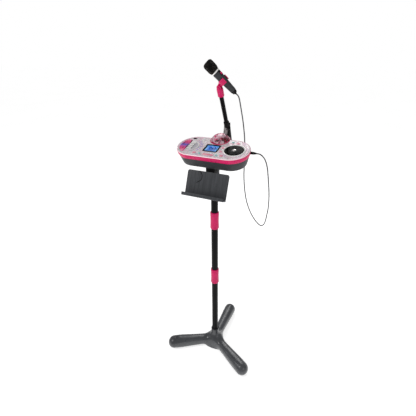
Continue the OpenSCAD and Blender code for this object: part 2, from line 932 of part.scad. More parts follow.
module holder_plate() {
    color([0.3, 0.31, 0.32]) holder_frame() difference() {
        union() {
            holder_back();
            translate([-holder_w / 2, -ledge_depth, -holder_h - ledge_t])
                cube([holder_w, ledge_depth + 1, ledge_t]);
            translate([-holder_w / 2, -ledge_depth, -holder_h - ledge_t])
                cube([holder_w, lip_t, ledge_t + lip_h]);
            for (side = [-1, 1]) translate([side * (holder_ear_in + holder_ear_out) / 2, 0, 0]) {
                translate([0, holder_pin[0], holder_pin[1]]) x_rod(knuckle_r, holder_ear_out - holder_ear_in);
                translate([-(holder_ear_out - holder_ear_in) / 2, holder_t - 1, holder_pin[1] - knuckle_r])
                    cube([holder_ear_out - holder_ear_in, holder_pin[0] - holder_t + 1, 2 * knuckle_r]);
            }
        }
        translate([0, holder_pin[0], holder_pin[1]]) x_rod(hinge_r + turn_gap, 40);
    }
}

// ---- jack, plug and cord ----

module jack_axis() {
    translate([jack_in, jack_at[0], jack_at[1]]) rotate([0, 90, 0]) children();
}

module plug_jack() {
    color("dimgray") console_frame() jack_axis() tube(jack_r, pin_r + fit, 0, jack_out - jack_in);
}

module cord_plug() {
    color("black") console_frame() jack_axis() {
        translate([0, 0, 6]) cylinder(r = pin_r, h = jack_out - jack_in - 6 + eps);
        translate([0, 0, jack_out - jack_in]) cylinder(r = plug_r, h = 11);
        translate([0, 0, jack_out - jack_in + 11]) cylinder(r1 = plug_r, r2 = plug_tip_r, h = plug_end - jack_out - 11);
    }
}

// smooth curve through the route's points, and the tube swept along it
function unit(v) = v / norm(v);
function route_point(i) = cord_route[max(0, min(len(cord_route) - 1, i))];
function smooth(i, t) =
    let (a = route_point(i - 1), b = route_point(i), c = route_point(i + 1), d = route_point(i + 2))
    0.5 * ((2 * b) + (c - a) * t + (2 * a - 5 * b + 4 * c - d) * t * t + (3 * b - a - 3 * c + d) * t * t * t);
cord_path = concat(
    [for (i = [0:len(cord_route) - 2]) for (k = [0:cord_steps - 1]) smooth(i, k / cord_steps)],
    [cord_route[len(cord_route) - 1]]);
function heading(i) =
    i == 0 ? [sin(mic_lean), cos(mic_lean) * sin(boom_lean), -cos(mic_lean) * cos(boom_lean)]
    : i == len(cord_path) - 1 ? [-1, 0, 0]
    : unit(cord_path[i + 1] - cord_path[i - 1]);
// a steady side direction, from a fixed axis that the cord never lies along
cord_side_axis = unit([1, -1.2, 0.25]);
function ring_at(i) =
    let (t = heading(i), u = unit(cross(cord_side_axis, t)), v = cross(t, u))
    [for (k = [0:cord_sides - 1])
        cord_path[i] + cord_d / 2 * (u * cos(360 * k / cord_sides) + v * sin(360 * k / cord_sides))];

module cord() {
    rings = len(cord_path);
    points = [for (i = [0:rings - 1]) each ring_at(i)];
    sides = [for (i = [0:rings - 2]) for (k = [0:cord_sides - 1])
        [i * cord_sides + k, i * cord_sides + (k + 1) % cord_sides,
         (i + 1) * cord_sides + (k + 1) % cord_sides, (i + 1) * cord_sides + k]];
    first = [for (k = [cord_sides - 1:-1:0]) k];
    last = [for (k = [0:cord_sides - 1]) (rings - 1) * cord_sides + k];
    color([0.3, 0.3, 0.3]) polyhedron(points, concat(sides, [first, last]), convexity = 8);
}

base_shell();
foot_pads();
pole_tube(socket_floor, lower_tube_top);  // lower_tube
coupler(lower_coupler_z);  // lower_coupler
pole_tube(lower_tube_top + stop_h, middle_tube_top);  // middle_tube
coupler(upper_coupler_z);  // upper_coupler
pole_tube(middle_tube_top + stop_h, upper_tube_top);  // upper_tube
console_mount();
screws();
lower_housing();
battery_door();
batteries();
rim_band();
edge_trim();
top_panel();
main_board();
key_membrane();
speaker();
screen_bezel();
screen_display();
screen_window();
disc_tray();
disc_platter();
disc_cap();
key_bed();
white_key(1);  // white_key_1
white_key(2);  // white_key_2
white_key(3);  // white_key_3
white_key(4);  // white_key_4
fan_pad();
pink_button(front_pink_left_at, front_pink);  // front_pink_left
teal_button(front_teal_left_at, front_teal);  // front_teal_left
pink_button(front_bar_at, bar_size);  // front_bar
teal_button(front_teal_right_at, front_teal);  // front_teal_right
pink_button(front_pink_right_at, front_pink);  // front_pink_right
pink_button(side_front_at, side_size);  // side_button_front
pink_button(side_rear_at, side_size);  // side_button_rear
teal_button(rear_teal_at, front_teal);  // rear_teal_button
pink_button(rear_pink_at, front_pink);  // rear_pink_button
power_slider();
dome_seat();
dome_lens();
disco_ball();
ball_motor();
arm_bracket();
boom_tube();
clip_sleeve();
hinge_pins();
mic_clip();
mic_grille();
mic_ring();
mic_body();
mic_switch();
mic_tail();
mic_capsule();
holder_bracket();
holder_plate();
plug_jack();
cord();
cord_plug();
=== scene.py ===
import json
import math

import bmesh
import bpy
import numpy as np
from mathutils import Matrix, Vector

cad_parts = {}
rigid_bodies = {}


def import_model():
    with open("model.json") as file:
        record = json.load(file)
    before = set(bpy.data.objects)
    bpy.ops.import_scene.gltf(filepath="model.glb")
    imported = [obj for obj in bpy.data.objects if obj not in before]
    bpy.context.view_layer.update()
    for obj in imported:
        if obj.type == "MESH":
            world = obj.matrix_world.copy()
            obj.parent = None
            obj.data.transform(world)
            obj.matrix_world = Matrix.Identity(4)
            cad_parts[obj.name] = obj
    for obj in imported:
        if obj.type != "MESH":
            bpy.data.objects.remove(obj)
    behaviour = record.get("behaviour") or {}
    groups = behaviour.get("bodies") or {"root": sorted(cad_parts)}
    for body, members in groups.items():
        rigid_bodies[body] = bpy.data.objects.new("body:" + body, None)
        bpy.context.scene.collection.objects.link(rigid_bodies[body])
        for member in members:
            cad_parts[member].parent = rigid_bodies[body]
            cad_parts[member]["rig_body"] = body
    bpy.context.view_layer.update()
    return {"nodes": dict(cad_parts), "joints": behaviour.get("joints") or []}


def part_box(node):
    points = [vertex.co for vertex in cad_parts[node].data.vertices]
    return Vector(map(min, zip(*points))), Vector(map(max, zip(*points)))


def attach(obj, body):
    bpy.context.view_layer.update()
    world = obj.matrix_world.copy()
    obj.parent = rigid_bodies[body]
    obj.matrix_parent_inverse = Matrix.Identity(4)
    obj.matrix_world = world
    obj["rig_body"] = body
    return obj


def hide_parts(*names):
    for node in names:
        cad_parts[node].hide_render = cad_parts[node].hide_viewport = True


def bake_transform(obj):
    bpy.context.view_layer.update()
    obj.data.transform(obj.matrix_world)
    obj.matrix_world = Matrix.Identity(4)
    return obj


# A child's karaoke machine on a floor stand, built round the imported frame. Metres, in the frame's own axes:
# the origin is on the floor on the pole's axis, +Z is up and -Y faces the child.

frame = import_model()

MM = 0.001
JOINTS = {joint["name"]: joint for joint in frame["joints"]}
BOOM_LEAN = math.radians(27.6)
HOLDER_LEAN = math.radians(22.7)
SHARP_ANGLE = math.radians(32)


# ---- places, worked out from the frame ----

def axes(origin, up, side=(1, 0, 0)):
    """A local frame at origin with its z along up and its x along side."""
    z = Vector(up).normalized()
    y = z.cross(Vector(side)).normalized()
    x = y.cross(z)
    return Matrix.Translation(origin) @ Matrix((x, y, z)).transposed().to_4x4()


def span(node, place):
    """Lowest and highest corner of a CAD node, along the axes of place."""
    inverse = place.inverted()
    points = np.array([inverse @ vertex.co for vertex in frame["nodes"][node].data.vertices])
    return Vector(points.min(0)), Vector(points.max(0))


def middle(low, high):
    return (low + high) / 2


def console_axes():
    """u along the console, v to its rear, w off its top face, from the middle of that face."""
    tilted = axes((0, 0, 0), JOINTS["disc_spin"]["axis"])
    centre = middle(*span("rim_band", tilted))
    panel_top = span("top_panel", tilted)[1].z
    return tilted @ Matrix.Translation((centre.x, centre.y, panel_top))


def mic_axes():
    """z along the microphone to its head, from the top of its body, and x along its hinge."""
    aimed = axes((0, 0, 0), JOINTS["mic_switch_slide"]["axis"], JOINTS["mic_tilt"]["axis"])
    low, high = span("mic_body", aimed)
    return aimed @ Matrix.Translation((middle(low, high).x, middle(low, high).y, high.z))


WORLD = Matrix()
CONSOLE = console_axes()
MIC = mic_axes()
BOOM = axes(JOINTS["mic_tilt"]["pos_m"], (0, -math.sin(BOOM_LEAN), math.cos(BOOM_LEAN)),
            JOINTS["mic_tilt"]["axis"])
HOLDER = axes(JOINTS["holder_tilt"]["pos_m"], (0, math.sin(HOLDER_LEAN), math.cos(HOLDER_LEAN)))

BOOM_LENGTH = 140 * MM
BAND_HIGH = span("rim_band", CONSOLE)[1]
RIM_R = BAND_HIGH.y
RIM_C = BAND_HIGH.x - RIM_R
SEAT_LOW, SEAT_HIGH = span("dome_seat", CONSOLE)
SEAT_AT = middle(SEAT_LOW, SEAT_HIGH)
SEAT_R = (SEAT_HIGH.x - SEAT_LOW.x) / 2


# ---- meshes ----

def arc(start, end, steps):
    """Angles from start to end, in radians, for start and end in degrees."""
    return [math.radians(start + (end - start) * step / steps) for step in range(steps + 1)]


def loft(loops, wrap=False):
    """Points and faces of a skin over loops of equal size, capped unless wrap joins the last to the first."""
    count = len(loops[0])
    points = [point for loop in loops for point in loop]
    faces = []
    for row in range(len(loops) if wrap else len(loops) - 1):
        here = row * count
        there = (row + 1) % len(loops) * count
        for k in range(count):
            after = (k + 1) % count
            faces.append((here + k, here + after, there + after, there + k))
    if not wrap:
        faces.append(tuple(range(count - 1, -1, -1)))
        faces.append(tuple(range(len(points) - count, len(points))))
    return points, faces


def join(*shapes):
    """Several shapes as one."""
    points, faces = [], []
    for shape_points, shape_faces in shapes:
        start = len(points)
        points.extend(shape_points)
        faces.extend(tuple(start + k for k in face) for face in shape_faces)
    return points, faces


def moved(shape, matrix):
    return [tuple(matrix @ Vector(point)) for point in shape[0]], shape[1]


def make(name, shape, place=WORLD, flat=False):
    """An object from a shape whose points are in the axes of place."""
    mesh = bpy.data.meshes.new(name)
    mesh.from_pydata([place @ Vector(point) for point in shape[0]], [], shape[1])
    clean(mesh)
    piece = bpy.data.objects.new(name, mesh)
    bpy.context.scene.collection.objects.link(piece)
    if not flat:
        smooth(piece)
    return piece


def clean(mesh):
    """Merges doubled points and turns the faces outwards."""
    work = bmesh.new()
    work.from_mesh(mesh)
    bmesh.ops.remove_doubles(work, verts=work.verts, dist=1e-6)
    bmesh.ops.recalc_face_normals(work, faces=work.faces)
    work.to_mesh(mesh)
    work.free()


def smooth(piece):
    """Smooth shading, with the edges past SHARP_ANGLE left sharp."""
    mesh = piece.data
    mesh.polygons.foreach_set("use_smooth", [True] * len(mesh.polygons))
    mesh.set_sharp_from_angle(angle=SHARP_ANGLE)


def bake(piece):
    """Applies the piece's modifiers to its mesh."""
    graph = bpy.context.evaluated_depsgraph_get()
    piece.data = bpy.data.meshes.new_from_object(piece.evaluated_get(graph))
    piece.modifiers.clear()
    return piece


def carve(piece, cutter):
    """Cuts the cutter out of the piece."""
    cut = piece.modifiers.new("cut", "BOOLEAN")
    cut.operation = "DIFFERENCE"
    cut.solver = "EXACT"
    cut.use_self = True
    cut.object = cutter
    bake(piece)
    bpy.data.objects.remove(cutter)
    smooth(piece)
    return piece


def bevelled(piece, width, segments=3, angle=30):
    """Rounds every edge of the piece that turns more than angle degrees."""
    bevel = piece.modifiers.new("bevel", "BEVEL")
    bevel.width = width
    bevel.segments = segments
    bevel.limit_method = "ANGLE"
    bevel.angle_limit = math.radians(angle)
    bevel.harden_normals = False
    bake(piece)
    smooth(piece)
    return piece


def rounded(low, high, low_r, high_r, steps=4):
    """(height, inset) up the side of a slab whose lower and upper edges are rounded."""
    under = [(low + low_r * (1 - math.cos(a)), low_r * (1 - math.sin(a))) for a in arc(0, 90, steps)]
    over = [(high - high_r * (1 - math.sin(a)), high_r * (1 - math.cos(a))) for a in arc(0, 90, steps)]
    return under + over


def box_outline(length, width, corner, steps=6):
    """A rounded rectangle as a function of its inset. A corner of half the width makes a stadium."""
    def outline(inset):
        radius = max(corner - inset, 0.02 * MM)
        points = []
        for quarter, (side_x, side_y) in enumerate([(1, 1), (-1, 1), (-1, -1), (1, -1)]):
            centre_x = side_x * (length / 2 - inset - radius)
            centre_y = side_y * (width / 2 - inset - radius)
            for a in arc(quarter * 90, quarter * 90 + 90, steps):
                points.append((centre_x + radius * math.cos(a), centre_y + radius * math.sin(a)))
        return points
    return outline


def slab(outline, levels, centre=(0, 0)):
    """Loops of outline at each (height, inset)."""
    return loft([[(centre[0] + x, centre[1] + y, height) for x, y in outline(inset)]
                 for height, inset in levels])


def ring(outline, levels, centre=(0, 0)):
    """A closed ring: its (height, inset) levels go up its outside and down its inside."""
    return loft([[(centre[0] + x, centre[1] + y, height) for x, y in outline(inset)]
                 for height, inset in levels], wrap=True)


def lathe(profile, sides=64, hollow=False, centre=(0, 0)):
    """A turned shape from (radius, height) pairs about z; a hollow one's profile is a closed loop."""
    turns = [2 * math.pi * k / sides for k in range(sides)]
    return loft([[(centre[0] + max(r, 0.01 * MM) * math.cos(a),
                   centre[1] + max(r, 0.01 * MM) * math.sin(a), h)
                  for a in turns] for r, h in profile], wrap=hollow)


def prism(outline, low, high):
    """An outline of (y, z) pairs, pushed along x."""
    return loft([[(x, y, z) for y, z in outline] for x in (low, high)])


def tube(points, radius, sides=12):
    """A round tube along points, its rings carried along without twist."""
    points = [Vector(point) for point in points]
    last = len(points) - 1
    side = None
    loops = []
    for i, point in enumerate(points):
        ahead = (points[min(i + 1, last)] - points[max(i - 1, 0)]).normalized()
        if side is None:
            side = ahead.orthogonal()
        side = (side - ahead * side.dot(ahead)).normalized()
        up = ahead.cross(side)
        loops.append([point + radius * (side * math.cos(a) + up * math.sin(a))
                      for a in arc(0, 360, sides)[:-1]])
    return loft(loops)


def smooth_route(points, steps):
    """A smooth curve through the points, with steps stretches between each two."""
    known = [Vector(point) for point in points]
    last = len(known) - 1
    curve = []
    for i in range(last):
        a, b, c, d = (known[min(max(k, 0), last)] for k in (i - 1, i, i + 1, i + 2))
        for step in range(steps):
            t = step / steps
            curve.append(0.5 * (2 * b + (c - a) * t + (2 * a - 5 * b + 4 * c - d) * t * t
                                + (3 * b - a - 3 * c + d) * t * t * t))
    return curve + [known[last]]


def surface_net(field, low, high, step):
    """Points and quads over the zero surface of field, which is negative inside."""
    ticks = [np.arange(a, b + step, step) for a, b in zip(low, high)]
    grid = np.stack(np.meshgrid(*ticks, indexing="ij"), axis=-1)
    inside = field(grid) < 0
    cells = [n - 1 for n in inside.shape]
    corners = sum(inside[i:cells[0] + i, j:cells[1] + j, k:cells[2] + k].astype(int)
                  for i in (0, 1) for j in (0, 1) for k in (0, 1))
    mixed = (corners > 0) & (corners < 8)
    index = np.full(cells, -1)
    index[mixed] = np.arange(mixed.sum())
    points = grid[:-1, :-1, :-1][mixed] + step / 2
    faces = []
    for along in range(3):
        before = np.take(inside, range(cells[along]), axis=along)
        after = np.take(inside, range(1, cells[along] + 1), axis=along)
        edges = np.argwhere(before != after)
        side_b, side_c = (unit for axis, unit in enumerate(np.eye(3, dtype=int)) if axis != along)
        for edge in edges:
            ring_cells = [edge, edge - side_b, edge - side_b - side_c, edge - side_c]
            faces.append(tuple(int(index[tuple(cell)]) for cell in ring_cells))
    return settle(points, faces, field, step), faces


def settle(points, faces, field, step):
    """Evens the points out along the surface, and moves each one onto it."""
    ends = np.array([(face[k], face[(k + 1) % 4]) for face in faces for k in range(4)])
    small = step * 0.05
    for _ in range(4):
        total = np.zeros_like(points)
        count = np.zeros(len(points))
        np.add.at(total, ends[:, 0], points[ends[:, 1]])
        np.add.at(count, ends[:, 0], 1)
        points = 0.5 * points + 0.5 * total / count[:, None]
        for _ in range(3):
            value = field(points)
            slope = np.stack([(field(points + small * unit) - value) / small for unit in np.eye(3)], axis=-1)
            points = points - slope * (value / np.maximum((slope ** 2).sum(-1), 0.05))[:, None]
    return points


# ---- finishes ----

def srgb(red, green, blue):
    """The linear colour of an sRGB one."""
    channels = [value / 255 for value in (red, green, blue)]
    return tuple(c / 12.92 if c <= 0.04045 else ((c + 0.055) / 1.055) ** 2.4 for c in channels) + (1.0,)


class Finish:
    """A material: its principled shader, and short calls that add nodes to it."""

    def __init__(self, name, **sockets):
        self.material = bpy.data.materials.new(name)
        self.material.use_nodes = True
        self.tree = self.material.node_tree
        self.shader = self.tree.nodes["Principled BSDF"]
        self.set(**sockets)
        self.place = self.add("TexCoord").outputs["Object"]

    def set(self, **sockets):
        """Sets the shader's sockets: base_color stands for Base Color, and so on."""
        names = {socket.name.lower().replace(" ", "_"): socket for socket in self.shader.inputs}
        for name, value in sockets.items():
            self.feed(names[name], value)

    def feed(self, socket, value):
        if isinstance(value, bpy.types.NodeSocket):
            self.tree.links.new(value, socket)
        else:
            socket.default_value = value

    def add(self, kind, inputs=(), **settings):
        node = self.tree.nodes.new("ShaderNode" + kind)
        for name, value in settings.items():
            setattr(node, name, value)
        for key, value in dict(inputs).items():
            self.feed(node.inputs[key], value)
        return node

    def math(self, operation, *values):
        """A math node's output."""
        return self.add("Math", list(enumerate(values)), operation=operation).outputs[0]

    def noise(self, size, detail=3.0, vector=None, stretch=(1, 1, 1)):
        """Noise with features of that size, from 0 to 1."""
        scaled = self.add("Mapping", {"Vector": vector or self.place, "Scale": stretch}).outputs[0]
        return self.add("TexNoise", {"Vector": scaled, "Scale": 1 / size, "Detail": detail}).outputs[0]

    def cells(self, size, feature="F1", output="Distance"):
        """Cells of that size."""
        node = self.add("TexVoronoi", {"Vector": self.place, "Scale": 1 / size}, feature=feature)
        return node.outputs[output]

    def ramp(self, factor, stops):
        """Colours at the stops, as (position, colour) pairs."""
        node = self.add("ValToRGB", {"Fac": factor})
        points = node.color_ramp.elements
        while len(points) < len(stops):
            points.new(0.5)
        for point, (position, colour) in zip(points, stops):
            point.position = position
            point.color = colour
        return node.outputs["Color"]

    def levels(self, factor, low, high, to_low=0.0, to_high=1.0):
        """factor from low..high to to_low..to_high, clamped."""
        return self.add("MapRange", [(0, factor), (1, low), (2, high), (3, to_low), (4, to_high)]).outputs[0]

    def mix(self, factor, first, second):
        node = self.add("Mix", data_type="RGBA")
        for socket, value in zip([s for s in node.inputs if s.enabled], (factor, first, second)):
            self.feed(socket, value)
        return next(s for s in node.outputs if s.enabled)

    def bump(self, *layers):
        """Bumps on the shader's normal, as (height, depth) pairs, one on the other."""
        normal = None
        for height, depth in layers:
            node = self.add("Bump", {"Height": height, "Distance": depth, "Strength": 1.0})
            if normal is not None:
                self.feed(node.inputs["Normal"], normal)
            normal = node.outputs["Normal"]
        self.set(normal=normal)


def moulded(name, colour, roughness, grain=0.5 * MM, depth=0.02 * MM, mottle=0.12, **sockets):
    """Moulded plastic: a fine grain, slow changes of shade, and handling marks in its gloss."""
    finish = Finish(name, **sockets)
    cloud = finish.noise(30 * MM, 4)
    dark = tuple(c * (1 - mottle) for c in colour[:3]) + (1,)
    light = tuple(min(1, c * (1 + mottle)) for c in colour[:3]) + (1,)
    finish.set(base_color=finish.ramp(cloud, [(0.3, dark), (0.7, light)]))
    smear = finish.noise(9 * MM, 6, stretch=(1, 1, 0.5))
    finish.set(roughness=finish.levels(smear, 0.3, 0.7, roughness * 0.8, roughness * 1.25))
    finish.bump((finish.noise(grain, 2), depth), (cloud, 0.25 * MM))
    return finish.material


def hammered_grey():
    """The base's glossy charcoal skin, with the soft dimples of blow moulding."""
    finish = Finish("hammered_grey", coat_weight=0.35, coat_roughness=0.15)
    cloud = finish.noise(60 * MM, 4)
    finish.set(base_color=finish.ramp(cloud, [(0.3, srgb(52, 54, 58)), (0.7, srgb(70, 72, 77))]))
    finish.set(roughness=finish.levels(finish.noise(12 * MM, 5), 0.3, 0.7, 0.24, 0.42))
    dimples = finish.cells(7 * MM, feature="SMOOTH_F1")
    finish.bump((cloud, 1.5 * MM), (dimples, 0.7 * MM), (finish.noise(0.8 * MM, 2), 0.02 * MM))
    return finish.material


def tube_black():
    """Satin black paint on steel, with drawing lines along the tube."""
    finish = Finish("tube_black")
    lines = finish.noise(2 * MM, 4, stretch=(1, 1, 0.02))
    finish.set(base_color=finish.ramp(lines, [(0.3, srgb(4, 4, 5)), (0.8, srgb(14, 14, 16))]))
    finish.set(roughness=finish.levels(finish.noise(20 * MM, 5), 0.3, 0.7, 0.3, 0.5), specular_ior_level=0.1)
    finish.bump((lines, 0.03 * MM), (finish.noise(0.6 * MM, 2), 0.01 * MM))
    return finish.material


def brushed_grey():
    """The holder's dark plastic, drawn in fine upright lines."""
    finish = Finish("brushed_grey", specular_ior_level=0.25)
    lines = finish.noise(4 * MM, 5, stretch=(1, 0.1, 0.03))
    finish.set(base_color=finish.ramp(lines, [(0.25, srgb(50, 52, 55)), (0.75, srgb(74, 76, 80))]))
    finish.set(roughness=finish.levels(lines, 0.3, 0.7, 0.35, 0.55))
    finish.bump((lines, 0.05 * MM), (finish.noise(0.5 * MM, 2), 0.015 * MM))
    return finish.material


def console_uv(finish):
    """The place on the console: u, v and w as a vector."""
    inverse = CONSOLE.inverted()
    node = finish.add("Mapping", {"Vector": finish.place, "Location": inverse.translation,
                                  "Rotation": inverse.to_euler()})
    return node.outputs[0]


def print_rays(finish, uv, centre, inner, outer, rays, start, end):
    """A mask of printed rays between two radii about centre, from start to end in degrees."""
    offset = finish.add("VectorMath", [(0, uv), (1, (centre[0], centre[1], 0))], operation="SUBTRACT")
    parts = finish.add("SeparateXYZ", {"Vector": offset.outputs[0]}).outputs
    squares = [finish.math("MULTIPLY", part, part) for part in parts[:2]]
    radius = finish.math("SQRT", finish.math("ADD", *squares))
    angle = finish.math("ARCTAN2", parts[1], parts[0])
    stripes = finish.levels(finish.math("SINE", finish.math("MULTIPLY", angle, rays)), -0.2, 0.2)
    edge = 0.6 * MM
    mask = finish.math("MULTIPLY", finish.levels(radius, inner, inner + edge),
                       finish.levels(radius, outer, outer - edge))
    reach = finish.math("MULTIPLY", finish.levels(angle, math.radians(start), math.radians(start + 4)),
                        finish.levels(angle, math.radians(end), math.radians(end - 4)))
    return finish.math("MULTIPLY", stripes, finish.math("MULTIPLY", mask, reach))


def glitter_panel():
    """The printed top face: silver glitter tinted pink and lilac, with rays round the keys and the disc."""
    finish = Finish("glitter_panel", metallic=0.1, coat_weight=0.3, coat_roughness=0.12)
    uv = console_uv(finish)
    flakes = finish.cells(1.3 * MM, output="Color")
    parts = finish.add("SeparateColor", {"Color": flakes}).outputs
    silver = finish.ramp(parts["Red"], [(0.0, srgb(158, 152, 156)), (0.5, srgb(228, 223, 226)),
                                        (1.0, srgb(255, 250, 252))])
    tint = finish.levels(finish.noise(24 * MM, 2), 0.5, 0.72, 0.0, 0.75)
    colour = finish.mix(tint, silver, srgb(232, 176, 200))
    lilac = finish.levels(finish.noise(31 * MM, 2, stretch=(1.4, 1, 1)), 0.54, 0.75, 0.0, 0.6)
    colour = finish.mix(lilac, colour, srgb(178, 160, 214))
    colour = finish.mix(finish.levels(parts["Green"], 0.93, 0.95), colour, srgb(150, 205, 190))
    colour = finish.mix(finish.levels(parts["Blue"], 0.91, 0.93), colour, srgb(236, 120, 165))
    bed_low, bed_high = span("key_bed", CONSOLE)
    bed = (bed_high.x - (bed_high.y - bed_low.y) / 2, middle(bed_low, bed_high).y)
    keys = print_rays(finish, uv, bed, 33 * MM, 44 * MM, 22, -40, 70)
    colour = finish.mix(finish.math("MULTIPLY", keys, 0.8), colour, srgb(150, 128, 205))
    disc = middle(*span("disc_tray", CONSOLE))
    sparks = print_rays(finish, uv, disc, 40 * MM, 46 * MM, 40, -175, 175)
    colour = finish.mix(finish.math("MULTIPLY", sparks, 0.45), colour, srgb(228, 150, 185))
    finish.set(base_color=colour, roughness=finish.levels(parts["Blue"], 0.0, 1.0, 0.2, 0.5))
    finish.bump((parts["Red"], 0.06 * MM))
    return finish.material


def pad_print():
    """The fan pad: pink at its two ends, violet and blue at its middle, with dark streaks."""
    finish = Finish("pad_print", roughness=0.35, specular_ior_level=0.3)
    low, high = span("fan_pad", CONSOLE)
    uv = console_uv(finish)
    drift = finish.math("MULTIPLY", finish.noise(9 * MM, 3), 14 * MM)
    v = finish.math("ADD", finish.add("SeparateXYZ", {"Vector": uv}).outputs[1], drift)
    share = finish.levels(v, low.y + 7 * MM, high.y + 7 * MM)
    colour = finish.ramp(share,
                         [(0.0, srgb(246, 150, 184)), (0.25, srgb(232, 52, 122)), (0.42, srgb(176, 84, 178)),
                                 (0.52, srgb(78, 92, 200)), (0.63, srgb(188, 70, 150)),
                          (0.78, srgb(234, 44, 116)),
                                 (1.0, srgb(238, 140, 182))])
    streaks = finish.levels(finish.noise(5 * MM, 3, uv, (1, 0.25, 1)), 0.55, 0.62, 0.0, 0.85)
    finish.set(base_color=finish.mix(streaks, colour, srgb(96, 14, 60)))
    finish.bump((finish.noise(3 * MM, 3), 0.05 * MM))
    return finish.material


def screen_picture():
    """The lit display: pale blue at its border, deep blue inside, with fine pixel lines."""
    finish = Finish("screen_picture", roughness=0.3)
    uv = console_uv(finish)
    low, high = span("screen_display", CONSOLE)
    centre = middle(low, high)
    offset = finish.add("VectorMath", [(0, uv), (1, (centre.x, centre.y, 0))], operation="SUBTRACT")
    parts = finish.add("SeparateXYZ", {"Vector": offset.outputs[0]}).outputs
    reach_u = finish.math("DIVIDE", finish.math("ABSOLUTE", parts[0]), (high.x - low.x) / 2)
    reach_v = finish.math("DIVIDE", finish.math("ABSOLUTE", parts[1]), (high.y - low.y) / 2)
    border = finish.math("MAXIMUM", reach_u, reach_v)
    colour = finish.ramp(border,
                         [(0.0, srgb(22, 96, 190)), (0.5, srgb(16, 88, 184)), (0.62, srgb(58, 140, 222)),
                                  (0.85, srgb(120, 186, 240))])
    blocks = finish.add("TexBrick", {"Vector": offset.outputs[0], "Scale": 1.0, "Mortar Size": 0.25 * MM,
                                     "Brick Width": 4 * MM, "Row Height": 3 * MM, "Color1": (1, 1, 1, 1),
                                     "Color2": (0.8, 0.8, 0.8, 1), "Mortar": (0.55, 0.55, 0.55, 1)})
    lit = finish.add("Mix", data_type="RGBA", blend_type="MULTIPLY")
    sockets = [s for s in lit.inputs if s.enabled]
    finish.feed(sockets[0], 0.5)
    finish.feed(sockets[1], colour)
    finish.feed(sockets[2], blocks.outputs["Color"])
    picture = next(s for s in lit.outputs if s.enabled)
    finish.set(base_color=picture, emission_color=picture, emission_strength=0.32)
    return finish.material


def disc_gloss():
    """Glossy black with fine turned grooves."""
    finish = Finish("disc_gloss", specular_ior_level=0.06)
    cloud = finish.noise(10 * MM, 3)
    finish.set(base_color=finish.ramp(cloud, [(0.3, srgb(2, 2, 3)), (0.7, srgb(8, 8, 9))]))
    finish.set(roughness=finish.levels(finish.noise(2 * MM, 4), 0.3, 0.7, 0.12, 0.26))
    finish.bump((finish.noise(0.3 * MM, 2), 0.004 * MM))
    return finish.material


def clear_plastic(name, colour, ior):
    """Clear moulded plastic, faintly streaked."""
    finish = Finish(name, transmission_weight=1.0, ior=ior)
    pale = tuple(0.5 + 0.5 * c for c in colour[:3]) + (1,)
    finish.set(base_color=finish.ramp(finish.noise(14 * MM, 3), [(0.35, colour), (0.75, pale)]))
    finish.set(roughness=finish.levels(finish.noise(4 * MM, 3), 0.3, 0.7, 0.0, 0.03))
    return finish.material


def cut_pink():
    """The dome's cut plastic: some facets clear, others pale or deep pink; the pink is the plastic's own,
    while the pale facets and the paler, less clear top are partly a painted reflection.
    """
    finish = Finish("cut_pink", ior=1.3, roughness=0.1, coat_weight=0.15, coat_roughness=0.05)
    facet = finish.add("SeparateColor", {"Color": finish.cells(8 * MM, output="Color")}).outputs
    height = finish.add("SeparateXYZ", {"Vector": console_uv(finish)}).outputs[2]
    low, high = span("dome_lens", CONSOLE)
    rise = high.z - low.z
    # painted reflection in part: the top of the dome is made less clear, so its pale pink shows
    cap = finish.levels(height, low.z + 0.62 * rise, low.z + 0.8 * rise)
    finish.set(base_color=finish.ramp(facet["Red"], [(0.15, srgb(222, 70, 120)), (0.35, srgb(240, 148, 180)),
                                                     (0.6, srgb(240, 186, 204)),
                                                     (0.85, srgb(238, 208, 219))]))
    clear = finish.levels(facet["Green"], 0.2, 0.5, 0.3, 0.97)
    finish.set(transmission_weight=finish.math("MULTIPLY", clear, finish.levels(cap, 0.0, 1.0, 1.0, 0.35)))
    return finish.material


def streaked_black():
    """The bracket's gloss black, with a painted reflection in pale upright streaks down its left side."""
    finish = Finish("streaked_black", roughness=0.6, specular_ior_level=0.06)
    place = finish.add("SeparateXYZ", {"Vector": finish.place}).outputs
    streaks = finish.levels(finish.noise(5 * MM, 3, stretch=(1, 1, 0.05)), 0.36, 0.52)
    left = finish.levels(place[0], 9 * MM, 3 * MM)
    top = span("arm_bracket", Matrix.Identity(4))[1].z
    low = finish.levels(place[2], top - 8 * MM, top - 30 * MM)
    # painted reflection: pale upright streaks on the upper left of the bracket
    shade = finish.math("MULTIPLY", streaks, finish.math("MULTIPLY", left, low))
    finish.set(base_color=finish.mix(shade, srgb(6, 6, 7), srgb(158, 156, 155)))
    finish.bump((streaks, 0.08 * MM))
    return finish.material


def key_bed_white():
    """White above, with painted shade in lilac-grey on the floor under the keys."""
    finish = Finish("key_bed_white", roughness=0.35, specular_ior_level=0.3)
    height = finish.add("SeparateXYZ", {"Vector": console_uv(finish)}).outputs[2]
    cloud = finish.ramp(finish.noise(6 * MM, 3), [(0.3, srgb(232, 230, 230)), (0.7, srgb(246, 244, 244))])
    top = span("key_bed", CONSOLE)[1].z
    rim = finish.levels(height, top - 1.2 * MM, top - 0.7 * MM)
    # painted shade: below the rim the floor turns lilac-grey, where the keys and rim shade it
    finish.set(base_color=finish.mix(rim, srgb(186, 182, 190), cloud))
    finish.bump((finish.noise(0.6 * MM, 2), 0.02 * MM))
    return finish.material


